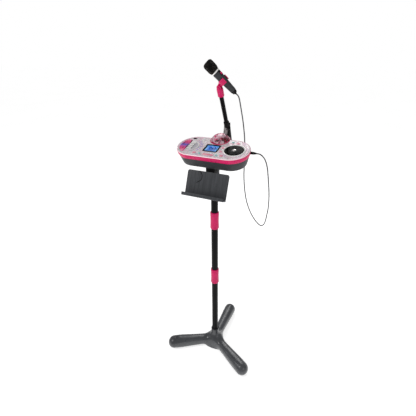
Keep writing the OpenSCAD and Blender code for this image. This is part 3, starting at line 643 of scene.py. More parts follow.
def key_white():
    """White on top, with painted shade in dark grey on the sides that show between the keys."""
    finish = Finish("key_white", roughness=0.3, specular_ior_level=0.3, coat_weight=0.2)
    height = finish.add("SeparateXYZ", {"Vector": console_uv(finish)}).outputs[2]
    cloud = finish.ramp(finish.noise(8 * MM, 3), [(0.3, srgb(236, 234, 232)), (0.7, srgb(248, 246, 245))])
    top = span("white_key_1", CONSOLE)[1].z
    face = finish.levels(height, top - 0.9 * MM, top - 0.3 * MM)
    # painted shade: below the key's top face the sides are dark grey, for the shadow in the gaps
    finish.set(base_color=finish.mix(face, srgb(46, 44, 50), cloud))
    finish.bump((finish.noise(0.7 * MM, 2), 0.015 * MM))
    return finish.material


def mirror_facets():
    """The ball's little mirrors: red, pink and dark by turns."""
    finish = Finish("mirror_facets", metallic=0.9, roughness=0.14)
    pick = finish.add("SeparateColor", {"Color": finish.cells(4.5 * MM, output="Color")}).outputs["Red"]
    finish.set(base_color=finish.ramp(pick, [(0.0, srgb(12, 1, 4)), (0.4, srgb(70, 4, 22)),
                                             (0.65, srgb(200, 30, 84)), (1.0, srgb(255, 214, 226))]))
    return finish.material


def wire_black():
    """The grille's black painted wire, with a painted brown-grey sheen in soft patches."""
    finish = Finish("wire_black", metallic=0.2, specular_ior_level=0.3)
    # painted sheen: brown-grey patches stand in for highlights on the wire
    painted_sheen = finish.noise(6 * MM, 4)
    finish.set(base_color=finish.ramp(painted_sheen, [(0.4, srgb(14, 13, 12)), (0.75, srgb(66, 60, 54))]))
    finish.set(roughness=finish.levels(painted_sheen, 0.3, 0.7, 0.45, 0.3))
    finish.bump((finish.noise(0.4 * MM, 2), 0.02 * MM))
    return finish.material


FINISHES = {
    "base_grey": hammered_grey(),
    "black_tube": tube_black(),
    "magenta": moulded("magenta", srgb(206, 8, 92), 0.3, mottle=0.08, specular_ior_level=0.3),
    "dark_grey": moulded("dark_grey", srgb(50, 51, 54), 0.45, grain=0.7 * MM, depth=0.05 * MM,
                         specular_ior_level=0.25),
    "pale_pink": moulded("pale_pink", srgb(250, 222, 231), 0.25, mottle=0.04, coat_weight=0.3),
    "panel_silver": glitter_panel(),
    "white_plastic": moulded("white_plastic", srgb(240, 238, 236), 0.3, mottle=0.03, coat_weight=0.2),
    "silver_plastic": moulded("silver_plastic", srgb(200, 198, 196), 0.25, mottle=0.06, metallic=0.8),
    "button_pink": moulded("button_pink", srgb(240, 150, 172), 0.25, mottle=0.1, coat_weight=0.3),
    "button_teal": moulded("button_teal", srgb(140, 200, 196), 0.25, mottle=0.1, coat_weight=0.3),
    "pad_pink": pad_print(),
    "black_gloss": disc_gloss(),
    "screen_blue": screen_picture(),
    "clear_window": clear_plastic("clear_window", srgb(250, 252, 255), ior=1.08),
    "dome_pink": cut_pink(),
    "ball_facets": mirror_facets(),
    "rubber_black": moulded("rubber_black", srgb(14, 14, 15), 0.7, grain=0.4 * MM, depth=0.04 * MM,
                            specular_ior_level=0.2),
    "rubber_pale": moulded("rubber_pale", srgb(215, 215, 210), 0.7),
    "steel": moulded("steel", srgb(190, 190, 192), 0.22, mottle=0.05, metallic=1.0),
    "board_green": moulded("board_green", srgb(24, 92, 52), 0.4, mottle=0.2),
    "cell_wrap": moulded("cell_wrap", srgb(196, 150, 60), 0.3, mottle=0.1, metallic=0.3),
    "grille_black": wire_black(),
    "cord_grey": moulded("cord_grey", srgb(62, 62, 64), 0.5, grain=0.6 * MM, depth=0.02 * MM),
}
HOLDER_GREY = brushed_grey()
BRACKET_BLACK = streaked_black()
BED_WHITE = key_bed_white()
KEY_WHITE = key_white()


def wear(piece, slot, finish=None):
    """Gives the piece the finish of a slot, or one of its own."""
    piece.data.materials.clear()
    piece.data.materials.append(finish or FINISHES[slot])
    return piece


def stand_for(piece, node, slot, finish=None):
    """The piece takes the place of a CAD node, on that node's body."""
    wear(piece, slot, finish)
    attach(piece, frame["nodes"][node]["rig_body"])
    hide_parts(node)
    return piece


def belong(piece, node, slot, finish=None):
    """The piece is an added detail on the body of a CAD node."""
    wear(piece, slot, finish)
    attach(piece, frame["nodes"][node]["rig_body"])
    return piece


# ---- camera ----

def camera():
    """The child's-eye three-quarter view from the front right, looking down."""
    lens = bpy.data.cameras.new("camera")
    lens.sensor_width = 36
    lens.lens = 25.17
    lens.shift_x = -0.0224
    lens.shift_y = -0.0043
    lens.clip_start = 0.05
    lens.clip_end = 100
    viewer = bpy.data.objects.new("camera", lens)
    viewer.location = (0.396, -0.8879, 1.2384)
    gaze = Vector((-0.35423, 0.81751, -0.45410))
    viewer.rotation_mode = "QUATERNION"
    viewer.rotation_quaternion = gaze.to_track_quat("-Z", "Y")
    bpy.context.scene.collection.objects.link(viewer)
    bpy.context.scene.camera = viewer


# ---- the microphone's cord and plug ----

CORD_ROUTE = [
    (0.0546, 0.0534, 1.1355), (0.0594, 0.0562, 1.1302), (0.0623, 0.0603, 1.1225), (0.0636, 0.0655, 1.1108),
    (0.0679, 0.070, 1.0839), (0.0724, 0.076, 1.0526), (0.076, 0.082, 1.0184), (0.0784, 0.087, 0.9854),
    (0.0786, 0.0915, 0.9507), (0.0779, 0.095, 0.9169), (0.0778, 0.098, 0.881), (0.0776, 0.100, 0.8436),
    (0.080, 0.102, 0.805), (0.0847, 0.104, 0.7671), (0.0925, 0.106, 0.7301), (0.1052, 0.108, 0.6952),
    (0.1216, 0.112, 0.6631), (0.138, 0.118, 0.639), (0.151, 0.121, 0.629), (0.162, 0.122, 0.634),
    (0.169, 0.120, 0.652),
    (0.174, 0.115, 0.683), (0.179, 0.107, 0.717), (0.182, 0.095, 0.750), (0.184, 0.081, 0.783),
    (0.185, 0.066, 0.815), (0.185, 0.050, 0.848), (0.185, 0.034, 0.880), (0.184, 0.019, 0.912),
    (0.180, 0.007, 0.938), (0.172, 0, 0.955), (0.161, -0.002, 0.963), (0.150, -0.0018, 0.964),
]
CORD_D = 4 * MM


def cord_plug():
    """The plug in the console's right end: pin, ribbed grip and tapered strain relief."""
    low, high = span("cord_plug", CONSOLE)
    axis = (middle(low, high).y, middle(low, high).z)
    grip_from = BAND_HIGH.x
    grip_r = (high.z - low.z) / 2
    pin_r = grip_r * 0.38
    profile = [(0, low.x), (pin_r * 0.6, low.x), (pin_r, low.x + 1.5 * MM), (pin_r, grip_from),
               (grip_r * 0.9, grip_from), (grip_r, grip_from + 0.8 * MM)]
    for rib in range(4):
        start = grip_from + (2 + rib * 2.2) * MM
        profile += [(grip_r, start), (grip_r * 0.86, start + 0.5 * MM), (grip_r * 0.86, start + 1.1 * MM),
                    (grip_r, start + 1.6 * MM)]
    relief = grip_from + 11.5 * MM
    end_r = CORD_D / 2 + 0.5 * MM
    for step in range(4):
        start = relief + step * (high.x - relief) / 4
        radius = grip_r * 0.82 + (end_r - grip_r * 0.82) * step / 3
        profile += [(radius, start), (radius, start + 1.1 * MM), (radius * 0.86, start + 1.3 * MM),
                    (radius * 0.86, start + (high.x - relief) / 4 - 0.1 * MM)]
    profile.append((0, high.x))
    turned = moved(lathe(profile, 40), Matrix.Translation((0, *axis)) @ Matrix.Rotation(math.pi / 2, 4, "Y"))
    return stand_for(make("cord_plug_moulded", turned, CONSOLE), "cord_plug", "rubber_black")


def mic_cord(plug):
    """The grey cord from the microphone's tail to the plug, along a fixed route."""
    path = smooth_route(CORD_ROUTE, 8)
    cord = wear(make("mic_cord", tube(path, CORD_D / 2)), "cord_grey")
    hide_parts("cord")
    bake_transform(cord)


camera()
mic_cord(cord_plug())


# ---- stand ----

BASE_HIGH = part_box("base_shell")[1]
LEG_ANGLES = [math.radians(90 + 120 * leg) for leg in range(3)]
LEG_TIP_R = 28 * MM
LEG_ROOT_R = 20 * MM
LEG_AXIS_Z = LEG_TIP_R - 2 * MM
LEG_REACH = BASE_HIGH.y - LEG_TIP_R
POLE_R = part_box("lower_tube")[1].x


def smooth_union(first, second, soft):
    share = np.clip(0.5 + 0.5 * (second - first) / soft, 0, 1)
    return second + (first - second) * share - soft * share * (1 - share)


def leg_field(points, angle):
    """A leg: round at its tip, flattened a little on top, and slimmer towards the hub."""
    along = points[..., 0] * math.cos(angle) + points[..., 1] * math.sin(angle)
    across = points[..., 1] * math.cos(angle) - points[..., 0] * math.sin(angle)
    height = points[..., 2] - LEG_AXIS_Z
    share = np.clip(along / LEG_REACH, 0, 1)
    radius = LEG_ROOT_R + (LEG_TIP_R - LEG_ROOT_R) * share ** 1.5
    power = 2.7 - 0.7 * np.clip((share - 0.8) / 0.2, 0, 1)
    section = (np.abs(across) ** power + np.abs(height) ** power + 1e-12) ** (1 / power)
    beyond = np.maximum(along - LEG_REACH, 0) + np.maximum(-along, 0)
    return np.sqrt(beyond ** 2 + section ** 2) - radius


def base_field(points):
    """Three legs run smoothly into a hub that flares up to a collar round the pole."""
    reach = np.hypot(points[..., 0], points[..., 1])
    rise = np.clip(points[..., 2] / BASE_HIGH.z, 0, 1)
    flare = POLE_R + 4.5 * MM + 26 * MM * (1 - rise) ** 2.2
    value = (reach - flare) * 0.8
    for angle in LEG_ANGLES:
        value = smooth_union(value, leg_field(points, angle), 26 * MM)
    value = -smooth_union(-value, points[..., 2], 3 * MM)
    return -smooth_union(-value, BASE_HIGH.z - points[..., 2], 3 * MM)


def base_body():
    margin = 6 * MM
    reach = LEG_REACH + LEG_TIP_R + margin
    shape = surface_net(base_field, (-reach, -reach * 0.62, -margin),
                        (reach, reach, BASE_HIGH.z + margin), 3.2 * MM)
    stand_for(make("base_moulding", shape), "base_shell", "base_grey")
    top = BASE_HIGH.z
    collar = lathe([(POLE_R, top - 4 * MM), (POLE_R + 4 * MM, top - 4 * MM),
                    (POLE_R + 4.6 * MM, top - 3 * MM),
                    (POLE_R + 4.6 * MM, top - 1.6 * MM), (POLE_R + 3.6 * MM, top - 0.4 * MM),
                    (POLE_R + 0.8 * MM, top), (POLE_R, top - 0.6 * MM)], hollow=True)
    belong(make("pole_collar", collar), "base_shell", "dark_grey")
    filler_at = Matrix.Rotation(LEG_ANGLES[1], 4, "Z") @ Matrix.Translation((LEG_REACH - 14 * MM, 0, 0))
    crown = LEG_AXIS_Z + LEG_TIP_R
    cap = lathe([(0, crown - 6 * MM), (7 * MM, crown - 6 * MM), (7 * MM, crown - 1.1 * MM),
                 (6.3 * MM, crown - 0.6 * MM), (2.2 * MM, crown - 0.5 * MM), (1.8 * MM, crown - 1.4 * MM),
                 (0, crown - 1.4 * MM)], 40)
    belong(make("filler_cap", moved(cap, filler_at)), "base_shell", "dark_grey")


def foot_pads():
    """Rubber pads under the tips, flush with the underside, with two turned grooves."""
    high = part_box("foot_pads")[1]
    radius = high.y - LEG_REACH
    profile = [(0, high.z), (radius, high.z), (radius, 0.4 * MM), (radius - 0.4 * MM, 0)]
    for groove in (0.75, 0.45):
        profile += [(radius * groove, 0), (radius * groove, 0.6 * MM), (radius * groove - 0.7 * MM, 0.6 * MM),
                    (radius * groove - 0.7 * MM, 0)]
    profile.append((0, 0))
    pad = lathe(profile, 48)
    turns = [Matrix.Rotation(angle, 4, "Z") @ Matrix.Translation((LEG_REACH, 0, 0)) for angle in LEG_ANGLES]
    stand_for(make("foot_pads_grooved", join(*(moved(pad, turn) for turn in turns))), "foot_pads",
              "rubber_black")


def coupler(node):
    """A pink coupler: rounded lips, a bead at each end, a slight waist and the tube's snap button."""
    low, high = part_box(node)
    radius = high.x
    z_mid = middle(low, high).z
    half = (high.z - low.z) / 2
    side = [(POLE_R + 0.02 * MM, half), (radius - 1.8 * MM, half), (radius - 0.8 * MM, half - 0.5 * MM),
            (radius - 0.3 * MM, half - 1.6 * MM), (radius, half - 3.5 * MM), (radius, half - 7 * MM),
            (radius - 0.7 * MM, half - 7.7 * MM), (radius - 0.7 * MM, half - 8.7 * MM),
            (radius - 0.1 * MM, half - 9.4 * MM), (radius - 0.45 * MM, half * 0.35), (radius - 0.6 * MM, 0)]
    profile = [(r, z_mid + h) for r, h in side] + [(r, z_mid - h) for r, h in reversed(side[:-1])]
    stand_for(make(node + "_turned", lathe(profile, 72, hollow=True)), node, "magenta")
    button = lathe([(0, -3 * MM), (3 * MM, -3 * MM), (3 * MM, 0.1 * MM), (2.6 * MM, 0.7 * MM),
                    (1.4 * MM, 1.1 * MM), (0, 1.2 * MM)], 32)
    facing = Matrix.Rotation(math.radians(-40), 4,
                             "Z") @ Matrix.Translation((radius - 0.6 * MM, 0, z_mid - 14 * MM))
    snap = moved(button, facing @ Matrix.Rotation(math.pi / 2, 4, "Y"))
    belong(make(node + "_snap_button", snap), node, "magenta")


def console_mount():
    """Socket for the pole with a tilted flange under the console, and gussets between them."""
    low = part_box("console_mount")[0]
    thick = 4 * MM
    top = span("console_mount", CONSOLE)[1].z
    plate = slab(box_outline(58 * MM, 48 * MM, 6 * MM), rounded(top - thick, top, 0.8 * MM, 0.1 * MM),
                 (0, -1.3 * MM))
    socket_r = POLE_R + 4.8 * MM
    sleeve_top = 917 * MM
    sleeve = lathe([(POLE_R + 0.1 * MM, low.z), (socket_r - 1 * MM, low.z), (socket_r, low.z + 1 * MM),
                    (socket_r, low.z + 6 * MM), (socket_r - 0.6 * MM, low.z + 6.6 * MM),
                    (socket_r - 0.6 * MM, low.z + 8 * MM), (socket_r, low.z + 8.6 * MM),
                    (socket_r, sleeve_top),
                    (POLE_R + 0.1 * MM, sleeve_top)], 64, hollow=True)
    gussets = []
    for turn in (0, 90, 180, 270):
        rib = loft([[(socket_r - 1 * MM, y, 872 * MM), (socket_r - 1 * MM, y, 915 * MM),
                     (socket_r + 5 * MM, y, 912 * MM), (socket_r + 4 * MM, y, 902 * MM)]
                    for y in (-1.2 * MM, 1.2 * MM)])
        gussets.append(moved(rib, Matrix.Rotation(math.radians(turn + 45), 4, "Z")))
    shape = join(moved(plate, CONSOLE), sleeve, *gussets)
    return stand_for(make("console_mount_ribbed", shape), "console_mount", "dark_grey")


def cross_outline(radius, arm, half, blend, sides=48):
    """A loop between a circle at blend 0 and a plus sign at blend 1."""
    points = []
    for k in range(sides):
        a = 2 * math.pi * k / sides
        near = min(abs(math.cos(a)), abs(math.sin(a)))
        far = max(abs(math.cos(a)), abs(math.sin(a)))
        plus = min(arm / far, half / max(near, 1e-3))
        reach = radius * (1 - blend) + plus * blend
        points.append((reach * math.cos(a), reach * math.sin(a)))
    return points


def screws():
    """Pan-head screws with a cross recess, head down, under the console."""
    places = [CONSOLE.inverted() @ vertex.co for vertex in frame["nodes"]["screws"].data.vertices]
    heads = cluster(places, 8 * MM)
    shapes = []
    for u, v, w in heads:
        r = 3 * MM
        rows = [(r * 0.93, w + 0.25 * MM, 0), (r, w + 0.8 * MM, 0), (r, w + 2 * MM, 0),
                (1.4 * MM, w + 2 * MM, 0),
                (1.4 * MM, w + 10 * MM, 0)]
        loops = [[(u + x, v + y, w + 1.3 * MM) for x, y in cross_outline(r, 1.7 * MM, 0.4 * MM, 1)],
                 [(u + x, v + y, w) for x, y in cross_outline(r, 1.7 * MM, 0.4 * MM, 1)],
                 [(u + x, v + y, w) for x, y in cross_outline(r * 0.75, 0, 0, 0)]]
        loops += [[(u + x, v + y, h) for x, y in cross_outline(radius, 0, 0, 0)] for radius, h, _ in rows]
        shapes.append(loft(loops))
    stand_for(make("screws_cross_head", join(*shapes), CONSOLE), "screws", "steel")


def cluster(places, gap):
    """The middle, and lowest height, of each group of places that lie within gap of each other."""
    groups = []
    for place in places:
        near = [g for g in groups if math.hypot(g[0][0] - place.x, g[0][1] - place.y) < gap]
        if near:
            near[0].append((place.x, place.y, place.z))
        else:
            groups.append([(place.x, place.y, place.z)])
    found = []
    for group in groups:
        points = np.array(group)
        mid = (points.min(0) + points.max(0)) / 2
        found.append((float(mid[0]), float(mid[1]), float(points[:, 2].min())))
    return found


# ---- console ----

def rim_path(spacing=2 * MM):
    """(anchor u, normal u, normal v) round the console, from one side of the dome's seat to the other."""
    cover = SEAT_R - 2.5 * MM
    stops = []
    start = SEAT_AT.x - cover
    count = round((start + RIM_C) / spacing)
    stops += [(start - (start + RIM_C) * k / count, 0, 1) for k in range(count)]
    turns = round(math.pi * RIM_R / spacing)
    stops += [(-RIM_C, math.cos(a), math.sin(a)) for a in arc(90, 270, turns)]
    count = round(2 * RIM_C / spacing)
    stops += [(-RIM_C + 2 * RIM_C * k / count, 0, -1) for k in range(1, count)]
    stops += [(RIM_C, math.cos(a), math.sin(a)) for a in arc(-90, 90, turns)]
    end = SEAT_AT.x + cover
    count = round((RIM_C - end) / spacing)
    stops += [(RIM_C - (RIM_C - end) * k / count, 0, 1) for k in range(1, count + 1)]
    return stops


def rim_sweep(profile_at, spacing=2 * MM):
    """A (radius, w) profile swept round the console; profile_at gives it for each stop."""
    loops = []
    for anchor, normal_u, normal_v in rim_path(spacing):
        loops.append([(anchor + r * normal_u, r * normal_v, w) for r,
                      w in profile_at(anchor, normal_u, normal_v)])
    return loft(loops)


def rim_band():
    """The pink band: softly crowned, stepped in at its foot, with slanted grip ribs at the right end."""
    low_r = RIM_R - 3 * MM
    base = [(RIM_R - 5.5 * MM, -2.2), (RIM_R - 5.5 * MM, -18), (low_r - 1 * MM, -18),
            (low_r - 0.2 * MM, -17.4),
            (low_r + 0.1 * MM, -16.2)]
    face = [(low_r + 0.75 * MM + 2.1 * MM * math.sin(math.radians(90 * k / 7)), -15.6 + 12.4 * k / 7)
            for k in range(8)]
    top = [(RIM_R - 0.35 * MM, -2.6), (RIM_R - 0.8 * MM, -2.2)]

    def profile_at(anchor, normal_u, normal_v):
        turn = math.degrees(math.atan2(normal_v, normal_u))
        ribbed = anchor > 0 and normal_u > 0 and -66 < turn < -10
        rows = []
        for radius, w in base + face + top:
            on_face = -15.7 < w < -3
            rib = 0.45 * MM * max(0, math.sin(math.radians(turn * 42 + w * 30))) if ribbed and on_face else 0
            rows.append((min(radius + rib, RIM_R), w * MM))
        return rows

    stand_for(make("rim_band_crowned", rim_sweep(profile_at, 1.2 * MM), CONSOLE), "rim_band", "magenta")


def edge_trim():
    """The pale bead between the band and the top face."""
    low, high = span("edge_trim", CONSOLE)
    inner = high.y - 3.4 * MM
    outer = high.y

    def profile_at(*_):
        crown = [(middle_r + 1.65 * MM * math.cos(a),
                  low.z + 1.2 * MM + (high.z - low.z - 1.2 * MM) * math.sin(a))
                 for middle_r in [(inner + outer) / 2] for a in arc(0, 180, 8)]
        return [(inner + 0.05 * MM, low.z), (outer - 0.05 * MM, low.z)] + crown

    stand_for(make("edge_trim_bead", rim_sweep(profile_at), CONSOLE), "edge_trim", "pale_pink")


def housing_outline(end_r, lobe_r, inset, sides=300):
    """The console's stadium with the dome's lobe run smoothly into its rear."""
    radius = end_r - inset
    lobe = lobe_r - inset
    soft = 7 * MM
    points = []
    for k in range(sides):
        a = 2 * math.pi * k / sides
        c, s = math.cos(a), math.sin(a)
        straight = radius / max(abs(s), 1e-9)
        if abs(straight * c) <= RIM_C:
            reach = straight
        else:
            reach = RIM_C * abs(c) + math.sqrt(radius ** 2 - (RIM_C * s) ** 2)
        towards = SEAT_AT.x * c + SEAT_AT.y * s
        inside = lobe ** 2 - (SEAT_AT.x ** 2 + SEAT_AT.y ** 2 - towards ** 2)
        if inside > 0 and towards > 0:
            far = towards + math.sqrt(inside)
            share = min(max(0.5 + 0.5 * (far - reach) / soft, 0), 1)
            reach = reach + (far - reach) * share + soft * share * (1 - share)
        points.append((reach * c, reach * s))
    return points


def lower_housing():
    """The dark lower shell: tapered, with a rounded foot, speaker slots, the battery door's well and a latch
    notch in its floor.
    """
    low, high = span("lower_housing", CONSOLE)
    foot_r, top_r = RIM_R - 14.5 * MM, RIM_R - 4.5 * MM
    foot_lobe, top_lobe = SEAT_R - 4.5 * MM, SEAT_R
    levels = []
    round_r = 2 * MM
    for h, inset in rounded(low.z, high.z, round_r, 0.3 * MM, 5):
        share = (h - low.z) / (high.z - low.z)
        levels.append((foot_r + (top_r - foot_r) * share,
                       foot_lobe + (top_lobe - foot_lobe) * share, inset, h))
    shape = loft([[(x, y, h) for x, y in housing_outline(end, lobe, inset)] for end, lobe,
                  inset, h in levels])
    housing = make("lower_housing_shell", shape, CONSOLE)
    slot_outline = box_outline(34 * MM, 3 * MM, 1.5 * MM)
    depth = [(low.z - 1 * MM, 0), (low.z + 2.5 * MM, 0)]
    speaker = middle(*span("speaker", CONSOLE))
    cuts = [slab(slot_outline, depth, (speaker.x, speaker.y + row * 7 * MM)) for row in range(-2, 3)]
    door_low, door_high = span("battery_door", CONSOLE)
    door = middle(door_low, door_high)
    well = box_outline(door_high.x - door_low.x + 0.8 * MM, door_high.y - door_low.y + 0.8 * MM, 3 * MM)
    cuts.append(slab(well, [(low.z - 1 * MM, 0), (door_high.z, 0)], (door.x, door.y)))
    cuts.append(slab(box_outline(12 * MM, 7 * MM, 3 * MM), depth, (door.x, door_low.y - 1.5 * MM)))
    carve(housing, make("cutter", join(*cuts), CONSOLE))
    stand_for(housing, "lower_housing", "dark_grey")


def battery_door():
    """The door, with a ribbed thumb grip and a latch tab."""
    low, high = span("battery_door", CONSOLE)
    door = middle(low, high)
    size = (high.x - low.x, high.y - low.y)
    panel = slab(box_outline(*size, 2.6 * MM), rounded(low.z, high.z, 0.5 * MM, 0.1 * MM), (door.x, door.y))
    ribs = [slab(box_outline(16 * MM, 1.2 * MM, 0.6 * MM),
                 rounded(low.z - 0.5 * MM, low.z + 1 * MM, 0.4 * MM, 0.1 * MM),
                 (door.x, low.y + (6 + 2.4 * row) * MM)) for row in range(4)]
    latch = slab(box_outline(9 * MM, 5 * MM, 1.5 * MM), rounded(low.z + 0.4 * MM, high.z, 0.4 * MM, 0.1 * MM),
                 (door.x, low.y - 1.2 * MM))
    stand_for(make("battery_door_ribbed", join(panel, latch, *ribs), CONSOLE), "battery_door", "dark_grey")


# ---- controls on the top face ----

FLANGE_LIP = 1 * MM


def cap_size(node):
    """(centre, length, width, low, top) of a button's cap, without its hidden flange."""
    low, high = span(node, CONSOLE)
    centre = middle(low, high)
    return centre, high.x - low.x - 2 * FLANGE_LIP, high.y - low.y - 2 * FLANGE_LIP, low.z, high.z


def cap_shape(node):
    """A cap with a rounded shoulder and a shallow dish, on its flange."""
    centre, length, width, low, top = cap_size(node)
    outline = box_outline(length, width, width / 2, 8)
    flange_top = -3.2 * MM
    levels = [(flange_top - 1 * MM, -FLANGE_LIP), (flange_top, -FLANGE_LIP), (flange_top, 0)]
    levels += [(h, inset) for h, inset in rounded(flange_top, top, 0, 0.9 * MM)[5:]]
    levels += [(top - 0.12 * MM, 1.5 * MM), (top - 0.3 * MM, 2.2 * MM),
               (top - 0.36 * MM, width / 2 - 0.3 * MM)]
    stem = lathe([(0, low), (2 * MM, low), (2 * MM, flange_top)], 24, centre=(centre.x, centre.y))
    return join(slab(outline, levels, (centre.x, centre.y)), stem)


PINK_BUTTONS = ["front_pink_left", "front_pink_right", "side_button_front", "side_button_rear",
                "rear_pink_button"]
TEAL_BUTTONS = ["front_teal_left", "front_teal_right", "rear_teal_button"]


def wave_ridge():
    """A raised wave along the top of the front bar."""
    centre, length, width, _, top = cap_size("front_bar")
    reach = length / 2 - width / 2
    crests = 5
    stops = [reach * (2 * k / 80 - 1) for k in range(81)]
    return tube([(centre.x + x, centre.y + 1.1 * MM * math.sin(x / reach * crests * math.pi), top - 0.15 * MM)
                 for x in stops], 0.55 * MM, 8)


def collar(node):
    """A thin raised collar on the panel round a button's hole."""
    centre, length, width, _, _ = cap_size(node)
    outline = box_outline(length, width, width / 2, 8)
    levels = [(-0.3 * MM, -1.9 * MM), (0.25 * MM, -1.9 * MM), (0.5 * MM, -1.6 * MM), (0.5 * MM, -0.8 * MM),
              (0.3 * MM, -0.5 * MM), (-0.3 * MM, -0.5 * MM)]
    return ring(outline, levels, (centre.x, centre.y))


def buttons():
    for node in PINK_BUTTONS:
        stand_for(make(node + "_cap", cap_shape(node), CONSOLE), node, "button_pink")
    for node in TEAL_BUTTONS:
        stand_for(make(node + "_cap", cap_shape(node), CONSOLE), node, "button_teal")
    bar = join(cap_shape("front_bar"), wave_ridge())
    stand_for(make("front_bar_cap", bar, CONSOLE), "front_bar", "button_pink")
    rings = [collar(node) for node in PINK_BUTTONS + TEAL_BUTTONS + ["front_bar"]]
    belong(make("button_collars", join(*rings), CONSOLE), "top_panel", "pale_pink")


def power_slider():
    """The power slider's thumb piece, with three grip ridges."""
    centre, length, width, _, top = cap_size("power_slider")
    flange_top = -3.2 * MM
    levels = [(flange_top - 1 * MM, -FLANGE_LIP), (flange_top, -FLANGE_LIP), (flange_top, 0)]
    levels += rounded(flange_top, top, 0, 0.4 * MM)[5:]
    body = slab(box_outline(length, width, width / 2), levels, (centre.x, centre.y))
    ridges = [slab(box_outline(0.6 * MM, width * 0.7, 0.3 * MM),
                   rounded(top - 0.5 * MM, top + 0.5 * MM, 0, 0.25 * MM),
                   (centre.x + offset * 1.4 * MM, centre.y)) for offset in (-1, 0, 1)]
    stand_for(make("power_slider_ridged", join(body, *ridges), CONSOLE), "power_slider", "rubber_black")
    slot = box_outline(length + 4.4 * MM, width, width / 2)
    levels = [(-0.3 * MM, -1.8 * MM), (0.3 * MM, -1.8 * MM), (0.5 * MM, -1.5 * MM), (0.3 * MM, -0.5 * MM),
              (-0.3 * MM, -0.5 * MM)]
    frame_ring = ring(slot, levels, (centre.x + 2.2 * MM, centre.y))
    belong(make("slider_surround", frame_ring, CONSOLE), "top_panel", "rubber_black")


def bed_loop(radius, edge, sides=120):
    """The key bed's D: a circle cut straight at edge, measured from its centre."""
    points = []
    soft = 3 * MM
    for k in range(sides):
        a = 2 * math.pi * k / sides
        reach = radius
        if math.cos(a) < -1e-6:
            cut = edge / math.cos(a)
            share = min(max(0.5 + 0.5 * (cut - reach) / soft, 0), 1)
            reach = cut + (reach - cut) * share - soft * share * (1 - share)
        points.append((reach * math.cos(a), reach * math.sin(a)))
    return points


def key_bed():
    """The white bed under the keys, with its crescent rim."""
    low, high = span("key_bed", CONSOLE)
    radius = (high.y - low.y) / 2
    centre = (high.x - radius, middle(low, high).y)
    edge = low.x - centre[0]
    rim = 3.6 * MM
    floor = 0.4 * MM

    def loops(levels):
        return [[(centre[0] + x, centre[1] + y, h) for x, y in bed_loop(r, e)] for h, r, e in levels]

    body = loft(loops([(low.z, radius - rim, edge), (-0.1 * MM, radius - rim, edge), (0, radius, edge),
                       (high.z - 0.6 * MM, radius, edge), (high.z, radius - 0.7 * MM, edge + 0.1 * MM),
                       (high.z - 0.1 * MM, radius - 2.6 * MM, edge + 0.2 * MM),
                       (floor + 0.4 * MM, radius - rim, edge + 0.3 * MM),
                       (floor, radius - rim - 0.5 * MM, edge + 0.4 * MM)]))
    bed = make("key_bed_rimmed", body, CONSOLE)
    gap = 0.4 * MM
    cuts = []
    for n in range(1, 5):
        key_low, key_high = key_top_box(n)
        size = key_high - key_low
        hole = box_outline(size.x + 2 * gap, size.y + 2 * gap, 0.8 * MM)
        place = middle(key_low, key_high)
        cuts.append(slab(hole, [(low.z - 1 * MM, 0), (high.z + 1 * MM, 0)], (place.x, place.y)))
    carve(bed, make("cutter", join(*cuts), CONSOLE))
    stand_for(bed, "key_bed", "silver_plastic", BED_WHITE)


def key_top_box(n):
    """The box of a white key's cap, without its hidden flange."""
    low, high = span(f"white_key_{n}", CONSOLE)
    lip = Vector((0.8 * MM, 0.7 * MM, 0))
    return low + lip, high - lip


def white_key(n):
    """A white key with a rounded edge and a shallow scoop along it."""
    low, high = key_top_box(n)
    size = high - low
    place = middle(low, high)
    flange_top = low.z + 1 * MM
    levels = [(low.z, -0.7 * MM), (flange_top, -0.7 * MM), (flange_top, 0)]
    levels += rounded(flange_top, high.z, 0, 1.2 * MM)[5:]
    levels += [(high.z - 0.1 * MM, 2 * MM), (high.z - 0.35 * MM, 3.2 * MM), (high.z - 0.4 * MM, 4.4 * MM)]
    key = slab(box_outline(size.x, size.y, 1.2 * MM), levels, (place.x, place.y))
    stand_for(make(f"white_key_{n}_cap", key, CONSOLE), f"white_key_{n}", "white_plastic", KEY_WHITE)


def fan_pad():
    """The large pad at the left end: a crowned strip along the console's end, with a moulded crease."""
    low, high = span("fan_pad", CONSOLE)
    v_from, v_to = low.y + FLANGE_LIP, high.y - FLANGE_LIP
    right = high.x - FLANGE_LIP
    round_c = Vector((-RIM_C, -1 * MM, 0))
    round_r = -RIM_C - (low.x + FLANGE_LIP)
    flange_top = -3.2 * MM
    rows = 90
    shoulder = 1.6 * MM
    loops = []
    for row in range(rows + 1):
        v = v_from + (v_to - v_from) * row / rows
        left = round_c.x - math.sqrt(round_r ** 2 - (v - round_c.y) ** 2)
        end_gap = min(v - v_from, v_to - v, shoulder)
        drop = shoulder - math.sqrt(shoulder ** 2 - (shoulder - end_gap) ** 2)
        top = high.z - 0.6 * MM - drop * 0.6
        loop = [(right, v, flange_top), (left, v, flange_top)]
        for k in range(25):
            share = k / 24
            u = left + (right - left) * share
            side = min(u - left, right - u, shoulder)
            edge_drop = shoulder - math.sqrt(max(shoulder ** 2 - (shoulder - side) ** 2, 0))
            crown = 0.6 * MM * math.sin(math.pi * share)
            crease_u = right - 12.5 * MM + 0.02 * v
            depth = 0.9 * MM * math.exp(-((u - crease_u) / (1.1 * MM)) ** 2)
            fade = min(max((v - v_from - 18 * MM) / (5 * MM), 0),
                       1) * min(max((v_to - 12 * MM - v) / (5 * MM), 0), 1)
            loop.append((u, v, top + crown - edge_drop * 0.7 - depth * fade))
        loops.append(loop)
    stand_for(make("fan_pad_crowned", loft(loops), CONSOLE), "fan_pad", "pad_pink")


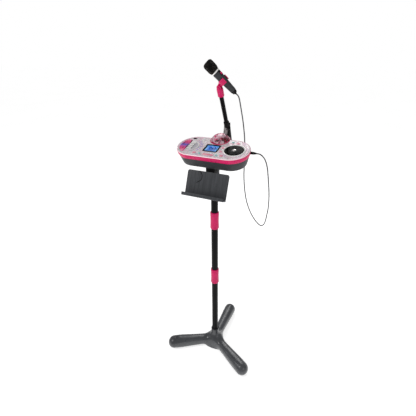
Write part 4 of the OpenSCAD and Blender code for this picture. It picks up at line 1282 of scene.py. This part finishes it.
def screen():
    """The screen's bezel with rounded corners, and the display and its window."""
    low, high = span("screen_bezel", CONSOLE)
    centre = middle(low, high)
    length, width = high.x - low.x, high.y - low.y
    lip = 5 * MM
    outline = box_outline(length, width, 5.5 * MM, 8)
    levels = [(-0.2 * MM, 0), (high.z - 0.7 * MM, 0), (high.z - 0.2 * MM, 0.3 * MM), (high.z, 0.9 * MM),
              (high.z, lip - 1.2 * MM), (high.z - 0.3 * MM, lip - 0.5 * MM), (-0.6 * MM, lip),
              (-0.6 * MM, lip - 1.4 * MM),
              (-0.2 * MM, lip - 1.4 * MM)]
    stand_for(make("screen_bezel_rounded", ring(outline, levels, (centre.x, centre.y)), CONSOLE),
              "screen_bezel", "black_gloss")
    glass_low, glass_high = span("screen_window", CONSOLE)
    size = glass_high - glass_low
    pane = slab(box_outline(size.x, size.y, 3 * MM), rounded(glass_low.z, glass_high.z, 0.2 * MM, 0.2 * MM),
                (centre.x, centre.y))
    stand_for(make("screen_window_pane", pane, CONSOLE), "screen_window", "clear_window")
    wear(frame["nodes"]["screen_display"], "screen_blue")


def turning_disc():
    """The tray with its white ring, the grooved platter and its domed cap."""
    low, high = span("disc_tray", CONSOLE)
    centre = middle(low, high)
    ring_r = (high.x - low.x) / 2
    disc_low, disc_high = span("disc_platter", CONSOLE)
    disc_r = (disc_high.x - disc_low.x) / 2
    well_r = disc_r + 0.6 * MM
    floor = disc_low.z - 0.6 * MM
    tray = lathe([(0, low.z), (ring_r - 2 * MM, low.z), (ring_r - 2 * MM, -0.1 * MM), (ring_r, -0.1 * MM),
                  (ring_r, high.z - 0.8 * MM), (ring_r - 0.4 * MM, high.z - 0.2 * MM),
                  (ring_r - 1.3 * MM, high.z),
                  (well_r + 1 * MM, high.z - 0.1 * MM), (well_r + 0.2 * MM, high.z - 0.5 * MM),
                  (well_r, high.z - 1 * MM), (well_r, floor), (0, floor)], 96, centre=(centre.x, centre.y))
    stand_for(make("disc_tray_ring", tray, CONSOLE), "disc_tray", "white_plastic")
    top = disc_high.z
    profile = [(0, disc_low.z), (disc_r - 0.4 * MM, disc_low.z), (disc_r, disc_low.z + 0.4 * MM),
               (disc_r, top - 0.9 * MM), (disc_r - 0.3 * MM, top - 0.3 * MM), (disc_r - 1 * MM, top)]
    grooves = 14
    for k in range(grooves):
        start = disc_r - 2.4 * MM - k * 1.45 * MM
        profile += [(start, top), (start - 0.25 * MM, top - 0.22 * MM), (start - 0.55 * MM, top - 0.22 * MM),
                    (start - 0.8 * MM, top)]
    profile += [(9 * MM, top), (8.6 * MM, top - 0.35 * MM), (0, top - 0.35 * MM)]
    stand_for(make("disc_platter_grooved", lathe(profile, 96, centre=(centre.x, centre.y)), CONSOLE),
              "disc_platter", "black_gloss")
    cap_low, cap_high = span("disc_cap", CONSOLE)
    cap_r = (cap_high.x - cap_low.x) / 2
    rise = cap_high.z - cap_low.z
    dome = [(cap_r * math.cos(a), cap_low.z + 0.5 * MM + (rise - 0.5 * MM) * math.sin(a))
            for a in arc(0, 86, 9)]
    cap = [(0, cap_low.z - 0.4 * MM), (cap_r, cap_low.z - 0.4 * MM)] + dome
    stand_for(make("disc_cap_domed", lathe(cap, 48, centre=(centre.x, centre.y)), CONSOLE),
              "disc_cap", "silver_plastic")


# ---- disco dome ----

def dome():
    """The seat, the faceted pink lens, and the mirror ball inside it."""
    centre = (SEAT_AT.x, SEAT_AT.y)
    low, high = SEAT_LOW.z, SEAT_HIGH.z
    well_r = SEAT_R - 4.5 * MM
    floor = low + 4 * MM
    seat = lathe([(0, low), (SEAT_R, low), (SEAT_R, high - 1.4 * MM), (SEAT_R - 0.4 * MM, high - 0.5 * MM),
                  (SEAT_R - 1.3 * MM, high), (well_r + 0.5 * MM, high), (well_r, high - 0.5 * MM),
                  (well_r, floor),
                  (0, floor)], 96, centre=centre)
    stand_for(make("dome_seat_ring", seat, CONSOLE), "dome_seat", "magenta")
    lens_low, lens_high = span("dome_lens", CONSOLE)
    base_r = (lens_high.x - lens_low.x) / 2
    rise = lens_high.z - lens_low.z
    sphere_r = (base_r ** 2 + rise ** 2) / (2 * rise)
    lens = make("dome_lens_faceted", facets(base_r, rise, sphere_r, lens_low.z, centre), CONSOLE, flat=True)
    stand_for(lens, "dome_lens", "dome_pink")
    mirror_ball()


def facets(base_r, rise, sphere_r, base_w, centre):
    """A cut dome: rings of points on a sphere, each turned half a facet, and an inner skin."""
    sides = 12
    widest = math.asin(base_r / sphere_r)
    shares = [1.0, 0.8, 0.56, 0.3]
    heart = base_w + rise - sphere_r
    points, faces = [], []
    for skin in (0, 2 * MM):
        for row, share in enumerate(shares):
            polar = widest * share
            for k in range(sides):
                a = 2 * math.pi * (k + 0.5 * (row % 2)) / sides
                reach = sphere_r - skin
                height = max(heart + reach * math.cos(polar), base_w) if row else base_w
                out = min(reach * math.sin(polar), base_r - skin)
                points.append((centre[0] + out * math.cos(a), centre[1] + out * math.sin(a), height))
        start = len(points) - sides * len(shares)
        faces += facet_faces(start, sides, len(shares))
    inner = sides * len(shares)
    faces += [(k, (k + 1) % sides, inner + (k + 1) % sides, inner + k) for k in range(sides)]
    return points, faces


def facet_faces(start, sides, rows):
    """Triangles between staggered rings, and a flat table on top."""
    faces = []
    for row in range(rows - 1):
        a, b = start + row * sides, start + (row + 1) * sides
        for k in range(sides):
            after = (k + 1) % sides
            if row % 2 == 0:
                faces += [(a + k, a + after, b + k), (a + after, b + after, b + k)]
            else:
                faces += [(a + k, b + after, b + k), (a + k, a + after, b + after)]
    faces.append(tuple(start + (rows - 1) * sides + k for k in range(sides)))
    return faces


def mirror_ball():
    """A ball tiled with small raised mirrors, on its spindle."""
    low, high = span("disco_ball", CONSOLE)
    radius = (high.x - low.x) / 2
    heart = Vector((SEAT_AT.x, SEAT_AT.y, high.z - radius))
    core_r = radius - 0.3 * MM
    rows, sides = 10, 18
    loops = [[(core_r * math.sin(p) * math.cos(2 * math.pi * k / sides),
               core_r * math.sin(p) * math.sin(2 * math.pi * k / sides),
               core_r * math.cos(p)) for k in range(sides)] for p in arc(8, 172, rows)]
    ball = make("mirror_ball", moved(loft(loops), Matrix.Translation(heart)), CONSOLE, flat=True)
    work = bmesh.new()
    work.from_mesh(ball.data)
    tiles = [face for face in work.faces if len(face.verts) == 4]
    bmesh.ops.inset_individual(work, faces=tiles, thickness=0.25 * MM, depth=0.25 * MM)
    work.to_mesh(ball.data)
    work.free()
    stand_for(ball, "disco_ball", "ball_facets")
    spindle = lathe([(0, low.z), (1.5 * MM, low.z), (1.5 * MM, heart.z - core_r + 1 * MM),
                     (0, heart.z - core_r + 1 * MM)],
                    24, centre=(heart.x, heart.y))
    belong(make("ball_spindle", spindle, CONSOLE), "disco_ball", "steel")


# ---- bracket, boom and clip ----

def arm_bracket():
    """The bracket behind the dome: a wedge with a round nose that narrows up to the boom's collar."""
    low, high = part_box("arm_bracket")
    width = high.x - low.x
    sections = [(low.z, 86, 141), (low.z + 2 * MM, 78, 146), (936 * MM, 71, 149), (942 * MM, 70.5, 148.2),
                (954 * MM, 71, 143), (959 * MM, 79, 141), (962 * MM, 86, 140), (968 * MM, 90.5, 138),
                (976 * MM, 94, 135.5), (989 * MM, 99, 131), (1003 * MM, 104.5, 126), (1018 * MM, 110, 121.5),
                (1030 * MM, 115, 119.5)]
    loops = []
    for z, front, rear in sections:
        depth = (rear - front) * MM
        front_r = min(8.5 * MM, depth * 0.45)
        rear_r = min(3 * MM, depth * 0.4)
        loop = []
        for start, side_x, y_edge, r, way in [(-180, -1, front * MM, front_r, 1),
                                              (-90, 1, front * MM, front_r, 1),
                                              (0, 1, rear * MM, rear_r, -1), (90, -1, rear * MM, rear_r, -1)]:
            cx, cy = side_x * (width / 2 - r), y_edge + way * r
            loop += [(cx + r * math.cos(a), cy + r * math.sin(a), z) for a in arc(start, start + 90, 6)]
        loops.append(loop)
    stand_for(make("arm_bracket_wedge", loft(loops)), "arm_bracket", "dark_grey", BRACKET_BLACK)
    foot = -BOOM_LENGTH
    ring_r = 10 * MM
    collar_shape = lathe([(7.55 * MM, foot - 24 * MM), (ring_r - 1 * MM, foot - 24 * MM),
                          (ring_r, foot - 22 * MM),
                          (ring_r, foot - 2 * MM), (ring_r - 0.5 * MM, foot - 1.2 * MM),
                          (ring_r, foot - 0.4 * MM),
                          (ring_r, foot + 1 * MM), (ring_r - 0.8 * MM, foot + 2 * MM),
                          (7.55 * MM, foot + 2 * MM)],
                         56, hollow=True)
    belong(make("boom_collar", collar_shape, BOOM), "arm_bracket", "rubber_black")


def clip_sleeve():
    """The pink sleeve on the boom's end, with the two ears of the tilt joint."""
    low, high = span("clip_sleeve", BOOM)
    radius = (high.x - low.x) / 2
    top = low.z + 30 * MM
    profile = [(7.55 * MM, low.z), (radius - 1.2 * MM, low.z), (radius - 0.3 * MM, low.z + 0.8 * MM),
               (radius, low.z + 2 * MM), (radius, low.z + 4.5 * MM), (radius - 0.5 * MM, low.z + 5 * MM),
               (radius - 0.5 * MM, low.z + 5.8 * MM), (radius - 0.1 * MM, low.z + 6.4 * MM),
               (radius, top - 5 * MM),
               (radius - 0.8 * MM, top - 2 * MM), (radius - 2.4 * MM, top - 0.4 * MM), (radius - 4 * MM, top),
               (0, top), (0, low.z + 20 * MM), (7.55 * MM, low.z + 20 * MM)]
    ear_r = 7 * MM
    eye_r = 2.55 * MM
    ears = []
    for side in (-1, 1):
        outline = []
        for a in arc(-10, 190, 16):
            outline.append((ear_r * math.cos(a), ear_r * math.sin(a)))
        outline += [(-ear_r, top - 3 * MM), (ear_r, top - 3 * MM)]
        ears.append(prism(outline, side * 4 * MM, side * 8.5 * MM))
    for index, ear in enumerate(ears):
        piece = make(f"clip_ear_{index + 1}", ear, BOOM)
        eye = loft([[(x, eye_r * math.cos(a), eye_r * math.sin(a)) for a in arc(0, 360, 24)[:-1]]
                    for x in (-20 * MM, 20 * MM)])
        carve(piece, make("cutter", eye, BOOM))
        bevelled(piece, 0.6 * MM, 2, 40)
        belong(piece, "clip_sleeve", "magenta")
    stand_for(make("clip_sleeve_turned", lathe(profile, 56), BOOM), "clip_sleeve", "magenta")


def hinge_pins():
    """The two pins, each with a chamfered, slotted end."""
    pins = []
    for place in (BOOM, HOLDER):
        half, r = 10.5 * MM, 2.5 * MM
        profile = [(0, -half), (r - 0.5 * MM, -half), (r, -half + 0.5 * MM), (r, half - 0.5 * MM),
                   (r - 0.5 * MM, half), (1.2 * MM, half), (0.9 * MM, half - 0.8 * MM), (0, half - 0.8 * MM)]
        pins.append(moved(lathe(profile, 36), place @ Matrix.Rotation(math.pi / 2, 4, "Y")))
    stand_for(make("hinge_pins_chamfered", join(*pins)), "hinge_pins", "magenta")


def mic_clip():
    """The spring clip: an open ring with rolled lips, and the tongue down to the tilt pin."""
    pivot = MIC.inverted() @ Vector(JOINTS["mic_tilt"]["pos_m"])
    half = 9 * MM
    centre_z = span("mic_clip", MIC)[1].z - half
    inner, outer = 12.75 * MM, 15.2 * MM
    steps = 60
    loops = []
    for step in range(steps + 1):
        share = step / steps
        turn = math.radians(130 + 280 * share)
        curl = 0.8 * MM * max(0, 1 - min(share, 1 - share) / 0.06) ** 2
        mid = (inner + outer) / 2 + curl
        section = box_outline(outer - inner, 2 * half, 1 * MM, 3)(0)
        loops.append([((mid + x) * math.cos(turn), (mid + x) * math.sin(turn), centre_z + y)
                      for x, y in section])
    half_w = 3.7 * MM
    eye_r = 2.56 * MM
    foot_r = 5.8 * MM
    outline = [(-13.5 * MM, centre_z - 7.6 * MM), (-13.5 * MM, centre_z + 7.6 * MM)]
    outline += [(pivot.y + foot_r * math.sin(a), pivot.z + foot_r * math.cos(a)) for a in arc(20, -200, 16)]
    piece = bevelled(make("mic_clip_tongue", prism(outline, -half_w, half_w), MIC), 0.8 * MM, 3, 40)
    eye = loft([[(x, pivot.y + eye_r * math.cos(a), pivot.z + eye_r * math.sin(a))
                 for a in arc(0, 360, 24)[:-1]]
                for x in (-20 * MM, 20 * MM)])
    carve(piece, make("cutter", eye, MIC))
    belong(piece, "mic_clip", "magenta")
    stand_for(make("mic_clip_ring", loft(loops), MIC), "mic_clip", "magenta")


# ---- microphone ----

def grille_profile(skin):
    """(radius, height) up the grille, skin inside its outer face."""
    low, high = span("mic_grille", MIC)
    r = (high.x - low.x) / 2 - skin
    top = high.z - skin
    round_r = 9 * MM - skin
    foot = [(14.1 * MM - skin, low.z), (r - 0.8 * MM, low.z + 5.5 * MM), (r - 0.15 * MM, low.z + 8 * MM)]
    corner = [(r - round_r + round_r * math.cos(a), top - round_r + round_r * math.sin(a))
              for a in arc(0, 90, 12)]
    return foot + corner + [(0, top + 0.3 * MM - skin)]


def even_stops(profile, count):
    """count + 1 stops spaced evenly along a profile."""
    lengths = [0]
    for a, b in zip(profile, profile[1:]):
        lengths.append(lengths[-1] + math.hypot(b[0] - a[0], b[1] - a[1]))
    marks = [lengths[-1] * k / count for k in range(count + 1)]
    return list(zip(np.interp(marks, lengths, [p[0] for p in profile]),
                    np.interp(marks, lengths, [p[1] for p in profile])))


def mic_grille():
    """Woven wire over a foam core, closed by a small cap."""
    sides = 44
    rows = 46
    stops = even_stops(grille_profile(0.3 * MM)[:-1] + [(3.2 * MM,
                                                         span("mic_grille", MIC)[1].z - 0.3 * MM)], rows)
    points = []
    for row, (r, h) in enumerate(stops):
        points += [(r * math.cos(a), r * math.sin(a), h)
                   for a in [2 * math.pi * (k + 0.5 * (row % 2)) / sides for k in range(sides)]]
    faces = []
    for row in range(rows - 1):
        shift = 1 if row % 2 else 0
        for k in range(sides):
            left = (row + 1) * sides + (k - 1 + shift) % sides
            right = (row + 1) * sides + (k + shift) % sides
            faces.append((row * sides + k, right, (row + 2) * sides + k, left))
    wires = make("mic_grille_wires", (points, faces), MIC)
    weave = wires.modifiers.new("wires", "WIREFRAME")
    weave.thickness = 0.6 * MM
    weave.use_even_offset = False
    bake(wires)
    smooth(wires)
    stand_for(wires, "mic_grille", "grille_black")
    foam = make("mic_foam", lathe([(0, span("mic_grille", MIC)[0].z)] + grille_profile(1 * MM), 64), MIC)
    belong(foam, "mic_grille", "rubber_black")
    low, high = span("mic_grille", MIC)
    foot_r = 14.1 * MM
    hem = lathe([(foot_r - 1.4 * MM, low.z), (foot_r + 0.3 * MM, low.z), (foot_r + 0.7 * MM, low.z + 1 * MM),
                 (foot_r + 0.9 * MM, low.z + 2 * MM), (foot_r - 0.4 * MM, low.z + 2.4 * MM)], 64, hollow=True)
    crown = lathe([(0, high.z - 1 * MM), (3.6 * MM, high.z - 1 * MM), (3.6 * MM, high.z - 0.5 * MM),
                   (3 * MM, high.z - 0.1 * MM), (0, high.z)], 40)
    belong(make("mic_grille_hem", join(hem, crown), MIC), "mic_grille", "grille_black")


def mic_body():
    """The tapered handle: a groove under the ring and a thumb plate round the switch."""
    low, high = span("mic_body", MIC)
    head_r, tail_r = 13.6 * MM, 9.4 * MM
    length = high.z - low.z

    def radius(h):
        return tail_r + (head_r - tail_r) * (h - low.z) / length

    profile = [(0, low.z), (tail_r - 1.2 * MM, low.z), (tail_r - 0.3 * MM, low.z + 0.5 * MM),
               (radius(low.z + 1.6 * MM), low.z + 1.6 * MM)]
    groove_z = high.z - 3.6 * MM
    groove_r = radius(groove_z)
    profile += [(groove_r, groove_z), (groove_r - 0.5 * MM, groove_z + 0.4 * MM),
                (groove_r - 0.5 * MM, groove_z + 1 * MM), (groove_r, groove_z + 1.4 * MM)]
    profile += [(head_r, high.z - 1 * MM), (head_r - 0.6 * MM, high.z), (0, high.z)]
    handle = make("mic_handle", lathe(profile, 64), MIC)
    switch_low = span("mic_switch", MIC)[0].z
    well = slab(box_outline(6.4 * MM, 13.8 * MM, 1.5 * MM), [(8 * MM, 0), (20 * MM, 0)])
    turn = Matrix.Rotation(math.radians(-90), 4, "X")
    middle_z = switch_low + 7.5 * MM
    carve(handle, make("cutter", moved(well, Matrix.Translation((0, 0, middle_z)) @ turn), MIC))
    stand_for(handle, "mic_body", "dark_grey")
    r = radius(middle_z)
    plate = ring(box_outline(10 * MM, 19 * MM, 3 * MM),
                 [(r - 1.4 * MM, 0), (r - 0.1 * MM, 0), (r + 0.35 * MM, 0.5 * MM), (r + 0.35 * MM, 1.5 * MM),
                  (r - 0.2 * MM, 1.8 * MM), (r - 1.4 * MM, 1.8 * MM)])
    surround = moved(plate, Matrix.Translation((0, 0, middle_z)) @ turn)
    belong(make("mic_switch_surround", surround, MIC), "mic_body", "rubber_black")


def mic_small_parts():
    """The white ring, the pink switch, and the black tail with its ribbed strain relief."""
    low, high = span("mic_ring", MIC)
    r = (high.x - low.x) / 2
    ring_shape = lathe([(10 * MM, low.z), (r - 0.7 * MM, low.z), (r - 0.1 * MM, low.z + 0.7 * MM),
                        (r, middle(low, high).z),
                        (r - 0.1 * MM, high.z - 0.7 * MM), (r - 0.7 * MM, high.z), (10 * MM, high.z)],
                       64, hollow=True)
    stand_for(make("mic_ring_turned", ring_shape, MIC), "mic_ring", "white_plastic")
    low, high = span("mic_switch", MIC)
    length = high.z - low.z - 2 * MM
    knob = slab(box_outline(5.2 * MM, length, 1.2 * MM),
                rounded(8 * MM, high.y - 0.3 * MM, 0.1 * MM, 0.7 * MM))
    ridges = [slab(box_outline(4 * MM, 0.7 * MM, 0.3 * MM),
                   rounded(high.y - 0.8 * MM, high.y, 0.1 * MM, 0.3 * MM),
                   (0, offset * 1.8 * MM)) for offset in (-1, 0, 1)]
    turn = Matrix.Translation((0, 0, middle(low, high).z)) @ Matrix.Rotation(math.radians(-90), 4, "X")
    stand_for(make("mic_switch_knob", moved(join(knob, *ridges), turn), MIC), "mic_switch", "magenta")
    low, high = span("mic_tail", MIC)
    relief = low.z + 4 * MM
    profile = [(0, high.z), (9.3 * MM, high.z), (9.1 * MM, high.z - 1.4 * MM), (8.5 * MM, high.z - 1.8 * MM),
               (8.4 * MM, high.z - 2.4 * MM), (8.2 * MM, high.z - 3.2 * MM), (7.3 * MM, relief + 0.6 * MM),
               (6.6 * MM, relief + 0.1 * MM), (4.1 * MM, relief), (4 * MM, relief - 1 * MM),
               (3.3 * MM, relief - 1.3 * MM), (3.3 * MM, relief - 1.8 * MM), (3.6 * MM, relief - 2 * MM),
               (3.2 * MM, relief - 3 * MM), (2.5 * MM, low.z), (0, low.z)]
    stand_for(make("mic_tail_ribbed", lathe(profile, 48), MIC), "mic_tail", "rubber_black")


# ---- device holder ----

def groove(points, half, depth):
    """A cutter that follows points (x, z) on the plate's front face."""
    return tube(smooth_route([(x * MM, depth, z * MM) for x, z in points], 6), half, 10)


def holder():
    """The holder's plate with its ledge, two moulded grooves on the front and ribs on the back."""
    low, high = span("holder_plate", HOLDER)
    width = high.x - low.x
    plate_y = -10 * MM
    thick = 4 * MM
    outline = box_outline(width, high.z + 5 * MM - low.z, 8 * MM, 8)
    top = 4 * MM
    height = top - low.z
    outline = box_outline(width, height, 8 * MM, 8)
    stood = Matrix.Translation((0, plate_y, (top + low.z) / 2)) @ Matrix.Rotation(math.radians(90), 4, "X")
    plate = slab(outline, [(-h, i) for h, i in rounded(0, thick, 1.1 * MM, 1.1 * MM)])
    piece = make("holder_plate_board", moved(plate, stood), HOLDER)
    bow = [(-33, 4), (-27, 0), (-22, -8), (-20.5, -17), (-23, -26), (-30, -33), (-38, -37)]
    cup = [(25, -29), (25, -42), (28, -49), (33, -49), (36, -42), (36, -29)]
    carve(piece, make("cutter", groove(bow, 1.5 * MM, plate_y - 0.2 * MM), HOLDER))
    carve(piece, make("cutter", groove(cup, 1 * MM, plate_y - 0.45 * MM), HOLDER))
    # painted shade: a black strip laid in the bow groove darkens it
    groove_shade_strip = make("holder_groove_inlay", groove(bow, 1.3 * MM, plate_y + 1.45 * MM), HOLDER)
    belong(groove_shade_strip, "holder_plate", "rubber_black")
    stand_for(piece, "holder_plate", "dark_grey", HOLDER_GREY)
    ledge_low = low.z
    front = low.y
    lip_top = ledge_low + 12 * MM
    profile = [(plate_y + thick, ledge_low), (plate_y + thick, ledge_low + 3 * MM),
               (plate_y, ledge_low + 6 * MM),
               (plate_y - 1.5 * MM, ledge_low + 4.6 * MM), (plate_y - 3 * MM, ledge_low + 4 * MM),
               (front + 5 * MM, ledge_low + 4 * MM), (front + 3.4 * MM, ledge_low + 4.6 * MM),
               (front + 3 * MM, ledge_low + 6 * MM), (front + 2.8 * MM, lip_top - 1 * MM),
               (front + 1.6 * MM, lip_top), (front + 0.4 * MM, lip_top - 0.8 * MM),
               (front, lip_top - 2.5 * MM),
               (front + 0.1 * MM, ledge_low + 3 * MM), (front + 0.9 * MM, ledge_low + 0.8 * MM),
               (front + 3 * MM, ledge_low)]
    ledge = make("holder_ledge", prism(profile, low.x, high.x), HOLDER)
    bevelled(ledge, 0.8 * MM, 3, 50)
    belong(ledge, "holder_plate", "dark_grey", HOLDER_GREY)
    holder_back(low, plate_y + thick, top)


def holder_back(low, back, top):
    """Stiffening ribs and the two ears of the tilt joint, behind the plate."""
    ribs = []
    for x in (-62, -38, 38, 62):
        outline = [(back - 0.5 * MM, low.z + 6 * MM), (back + 2.2 * MM, low.z + 12 * MM),
                   (back + 2.2 * MM, top - 22 * MM), (back - 0.5 * MM, top - 12 * MM)]
        ribs.append(prism(outline, (x - 0.9) * MM, (x + 0.9) * MM))
    belong(bevelled(make("holder_ribs", join(*ribs), HOLDER), 0.4 * MM, 2), "holder_plate",
           "dark_grey", HOLDER_GREY)
    for side in (-1, 1):
        outline = [(5 * MM * math.cos(a), 5 * MM * math.sin(a)) for a in arc(-90, 90, 12)]
        outline += [(back - 0.5 * MM, 5 * MM), (back - 0.5 * MM, -5 * MM)]
        ear = make("holder_ear_" + ("left" if side < 0 else "right"),
                   prism(outline, side * 6.3 * MM, side * 10.3 * MM), HOLDER)
        eye = loft([[(x, 2.56 * MM * math.cos(a), 2.56 * MM * math.sin(a)) for a in arc(0, 360, 24)[:-1]]
                    for x in (-30 * MM, 30 * MM)])
        carve(ear, make("cutter", eye, HOLDER))
        bevelled(ear, 0.5 * MM, 2, 40)
        belong(ear, "holder_plate", "dark_grey", HOLDER_GREY)


def holder_bracket():
    """The block under the console that carries the holder's pin."""
    low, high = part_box("holder_bracket")
    front, rear = -37.2 * MM, -8 * MM
    base = 883 * MM
    block = prism([(front, base), (front, 905 * MM), (rear, 914 * MM), (rear, base)], low.x, high.x)
    piece = bevelled(make("holder_bracket_block", block), 1.6 * MM, 3)
    stand_for(piece, "holder_bracket", "rubber_black")
    tongue = [(4.9 * MM * math.cos(a), 4.9 * MM * math.sin(a)) for a in arc(90, 270, 14)]
    tongue += [(9 * MM, -4.9 * MM), (9 * MM, 4.9 * MM)]
    belong(bevelled(make("holder_bracket_tongue", prism(tongue, -6 * MM, 6 * MM), HOLDER), 0.4 * MM, 2),
           "holder_bracket", "rubber_black")


# ---- nodes whose CAD shape stays ----

KEPT_NODES = {
    "lower_tube": "black_tube", "middle_tube": "black_tube", "upper_tube": "black_tube",
              "boom_tube": "black_tube",
    "top_panel": "panel_silver", "main_board": "board_green", "key_membrane": "rubber_pale",
    "batteries": "cell_wrap", "speaker": "rubber_black", "ball_motor": "steel", "mic_capsule": "steel",
    "plug_jack": "rubber_black",
}

base_body()
foot_pads()
coupler("lower_coupler")
coupler("upper_coupler")
console_mount()
screws()
rim_band()
edge_trim()
lower_housing()
battery_door()
buttons()
power_slider()
key_bed()
for number in range(1, 5):
    white_key(number)
fan_pad()
screen()
turning_disc()
dome()
arm_bracket()
clip_sleeve()
hinge_pins()
mic_clip()
mic_grille()
mic_body()
mic_small_parts()
holder()
holder_bracket()
for kept, kept_slot in KEPT_NODES.items():
    wear(frame["nodes"][kept], kept_slot)


# ---- stage ----

def floor():
    """A wide pale floor, faintly lit from below like a lightbox."""
    reach = 40
    sheet = make("floor", ([(-reach, -reach, 0), (reach, -reach, 0), (reach, reach, 0), (-reach, reach, 0)],
                           [(0, 1, 2, 3)]))
    finish = Finish("floor_white", roughness=0.9, specular_ior_level=0.1)
    pale = finish.ramp(finish.noise(0.8, 3), [(0.3, (0.88, 0.88, 0.88, 1)), (0.7, (0.92, 0.92, 0.92, 1))])
    finish.set(base_color=pale, emission_color=(1, 1, 1, 1), emission_strength=0.62)
    sheet.data.materials.append(finish.material)


def soft_light(name, place, size, power):
    """A square soft box that faces the console."""
    box = bpy.data.lights.new(name, "AREA")
    box.size = size
    box.energy = power
    lamp = bpy.data.objects.new(name, box)
    lamp.location = place
    lamp.rotation_mode = "QUATERNION"
    lamp.rotation_quaternion = (Vector((0, 0, 0.7)) - Vector(place)).to_track_quat("-Z", "Y")
    bpy.context.scene.collection.objects.link(lamp)


def backdrop():
    """A white sky that lights the machine more gently than it shows."""
    world = bpy.data.worlds.new("studio")
    world.use_nodes = True
    tree = world.node_tree
    seen = tree.nodes["Background"]
    seen.inputs["Color"].default_value = (1, 1, 1, 1)
    seen.inputs["Strength"].default_value = 1.0
    lit = tree.nodes.new("ShaderNodeBackground")
    lit.inputs["Color"].default_value = (1, 1, 1, 1)
    lit.inputs["Strength"].default_value = 0.42
    path = tree.nodes.new("ShaderNodeLightPath")
    mix = tree.nodes.new("ShaderNodeMixShader")
    tree.links.new(path.outputs["Is Camera Ray"], mix.inputs[0])
    tree.links.new(lit.outputs[0], mix.inputs[1])
    tree.links.new(seen.outputs[0], mix.inputs[2])
    tree.links.new(mix.outputs[0], tree.nodes["World Output"].inputs["Surface"])
    bpy.context.scene.world = world


def studio():
    floor()
    backdrop()
    soft_light("key_light", (-1.6, -1.6, 2.6), 1.0, 24)
    soft_light("fill_light", (2.2, -1.2, 1.6), 1.0, 6)
    soft_light("back_light", (-0.6, 2.2, 2.4), 1.0, 14)
    bpy.context.scene.view_settings.view_transform = "Standard"


studio()
